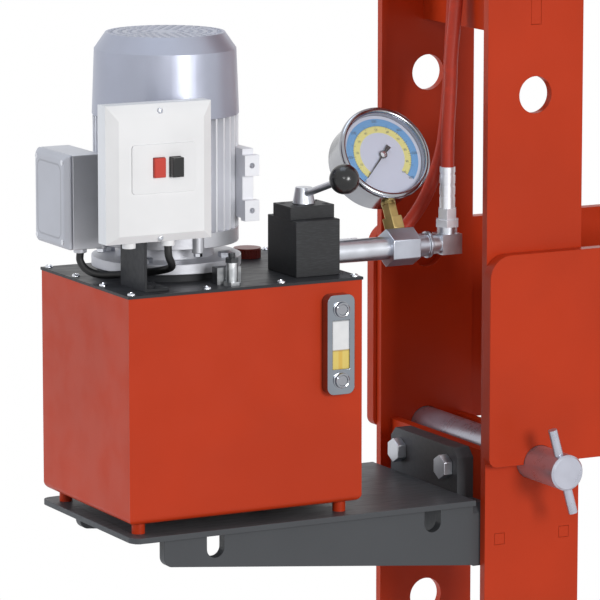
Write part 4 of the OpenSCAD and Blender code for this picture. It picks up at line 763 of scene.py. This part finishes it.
def dial_numbers():
    """Numbers of both scales at even steps over the sweep, joined into one mesh.

    Each ring has its radius and letter size in millimetres and its numbers.
    """
    rings = [((DIAL_BAND + DIAL_OUTER) / 2 + 1.0, 4.4, [str(100 * i) for i in range(7)]),
             ((DIAL_BAND + DIAL_INNER) / 2 - 0.8, 3.6, [str(10 * i) for i in range(11)])]
    work = bmesh.new()
    for radius, size, words in rings:
        for step, text in enumerate(words):
            angle = DIAL_SWEEP * (2 * step / (len(words) - 1) - 1)
            flat, places = number_mesh(text, size, radius, angle)
            flat.vertices.foreach_set("co", places.ravel())
            work.from_mesh(flat)
            bpy.data.meshes.remove(flat)
    mesh = bpy.data.meshes.new("dial_numbers")
    work.to_mesh(mesh)
    work.free()
    return mesh


add_piece("dial_numbers", dial_numbers(), "frame", moulded("dial_ink", rgb(34, 52, 66), 0.6))
hub_place = GAUGE_FACE + HUB_SETBACK * GAUGE_BACK
add_turned("needle_hub", HUB, [hub_place], GAUGE_BACK, BOSS_SIDES, finishes["bright_chrome"],
           body="needle")

# Stage
AMBIENT = 0.30
WHITE_ROOM = 1.0
FLOOR_RADIUS = 2.1
FLOOR_DEPTH = 12 * MM
FLOOR_SIDES = 128
FLOOR_GLEAM = 0.6
FLOOR_CENTRE = (-0.2, 0.0, -0.5 * MM)
FADE_START = 0.55 * FLOOR_RADIUS
FADE_END = 0.98 * FLOOR_RADIUS
WHITE = (1, 1, 1, 1)
SKY_TINT = (0.72, 0.84, 1.0)
WINDOW_TINT = (0.84, 0.90, 1.0)


def make_world():
    """Plain white for camera, mirror and see-through rays; a softer level for the light it sheds."""
    world = bpy.data.worlds.new("room")
    scene.world = world
    world.use_nodes = True
    tree = world.node_tree
    back = tree.nodes["Background"]
    path = tree.nodes.new("ShaderNodeLightPath")
    seen = path.outputs["Is Camera Ray"]
    for name in ("Is Glossy Ray", "Is Transmission Ray"):
        either = tree.nodes.new("ShaderNodeMath")
        either.operation = "MAXIMUM"
        tree.links.new(seen, either.inputs[0])
        tree.links.new(path.outputs[name], either.inputs[1])
        seen = either.outputs[0]
    level = tree.nodes.new("ShaderNodeMapRange")
    tree.links.new(seen, level.inputs["Value"])
    level.inputs["To Min"].default_value = AMBIENT
    level.inputs["To Max"].default_value = WHITE_ROOM
    tree.links.new(level.outputs[0], back.inputs["Strength"])
    back.inputs["Color"].default_value = WHITE


def make_floor():
    """A round pale slab that fades into the white room at its rim and gleams softly in metal."""
    radius, depth = FLOOR_RADIUS / MM, FLOOR_DEPTH / MM
    slab = [(0, -depth), (radius, -depth), (radius, 0)]
    mesh = surface("floor", turned(slab, [FLOOR_CENTRE], UP, FLOOR_SIDES))
    finish = Finish("floor_paper")
    paper = finish.blend(finish.noise(3, 3), rgb(236, 236, 236), rgb(242, 242, 242))
    finish.set(base_color=paper, roughness=0.7, specular_ior_level=0.2)
    camera = finish.node("ShaderNodeLightPath", output="Is Camera Ray")
    mirror = finish.node("ShaderNodeLightPath", output="Is Glossy Ray")
    from_middle = finish.node("ShaderNodeVectorMath", {"operation": "DISTANCE"},
                              {0: finish.place, 1: FLOOR_CENTRE}, "Value")
    rim = from_middle.ramp(FADE_START, FADE_END) * camera + mirror * FLOOR_GLEAM
    glow = finish.node("ShaderNodeEmission", {}, {"Color": WHITE, "Strength": WHITE_ROOM})
    mixed = finish.node("ShaderNodeMixShader", {}, {0: rim, 2: glow})
    tree = finish.tree
    tree.links.new(finish.shader.outputs[0], mixed.socket.node.inputs[1])
    tree.links.new(mixed.socket, tree.nodes["Material Output"].inputs["Surface"])
    floor = bpy.data.objects.new("floor", mesh)
    scene.collection.objects.link(floor)
    mesh.materials.append(finish.material)


def make_lamp(name, place, target, side, power, tint=WHITE[:3], gleams=True):
    """A square soft box that faces a target; one that does not gleam leaves no highlight on metal."""
    data = bpy.data.lights.new(name, "AREA")
    data.shape = "RECTANGLE"
    data.size = data.size_y = side
    data.energy = power
    data.color = tint
    lamp = bpy.data.objects.new(name, data)
    lamp.location = place
    lamp.visible_glossy = gleams
    aim = np.array(target) - np.array(place)
    flat = math.hypot(aim[0], aim[1])
    lamp.rotation_euler = (math.atan2(flat, -aim[2]), 0, math.atan2(aim[1], aim[0]) - math.pi / 2)
    scene.collection.objects.link(lamp)


make_world()
make_floor()
make_lamp("front_box", (-0.35, -4.3, 1.85), (-0.5, 0, 1.0), side=1.1, power=94)
make_lamp("camera_box", (-2.9, -3.9, 2.5), (-0.6, 0, 1.0), side=0.9, power=20)
make_lamp("left_box", (-4.0, 2.0, 1.8), (-0.6, 0, 1.0), side=1.6, power=78, tint=WINDOW_TINT, gleams=False)
make_lamp("top_box", (-0.9, 0.2, 3.6), (-0.7, 0, 1.0), side=1.4, power=16, tint=SKY_TINT)
scene.view_settings.view_transform = "Standard"
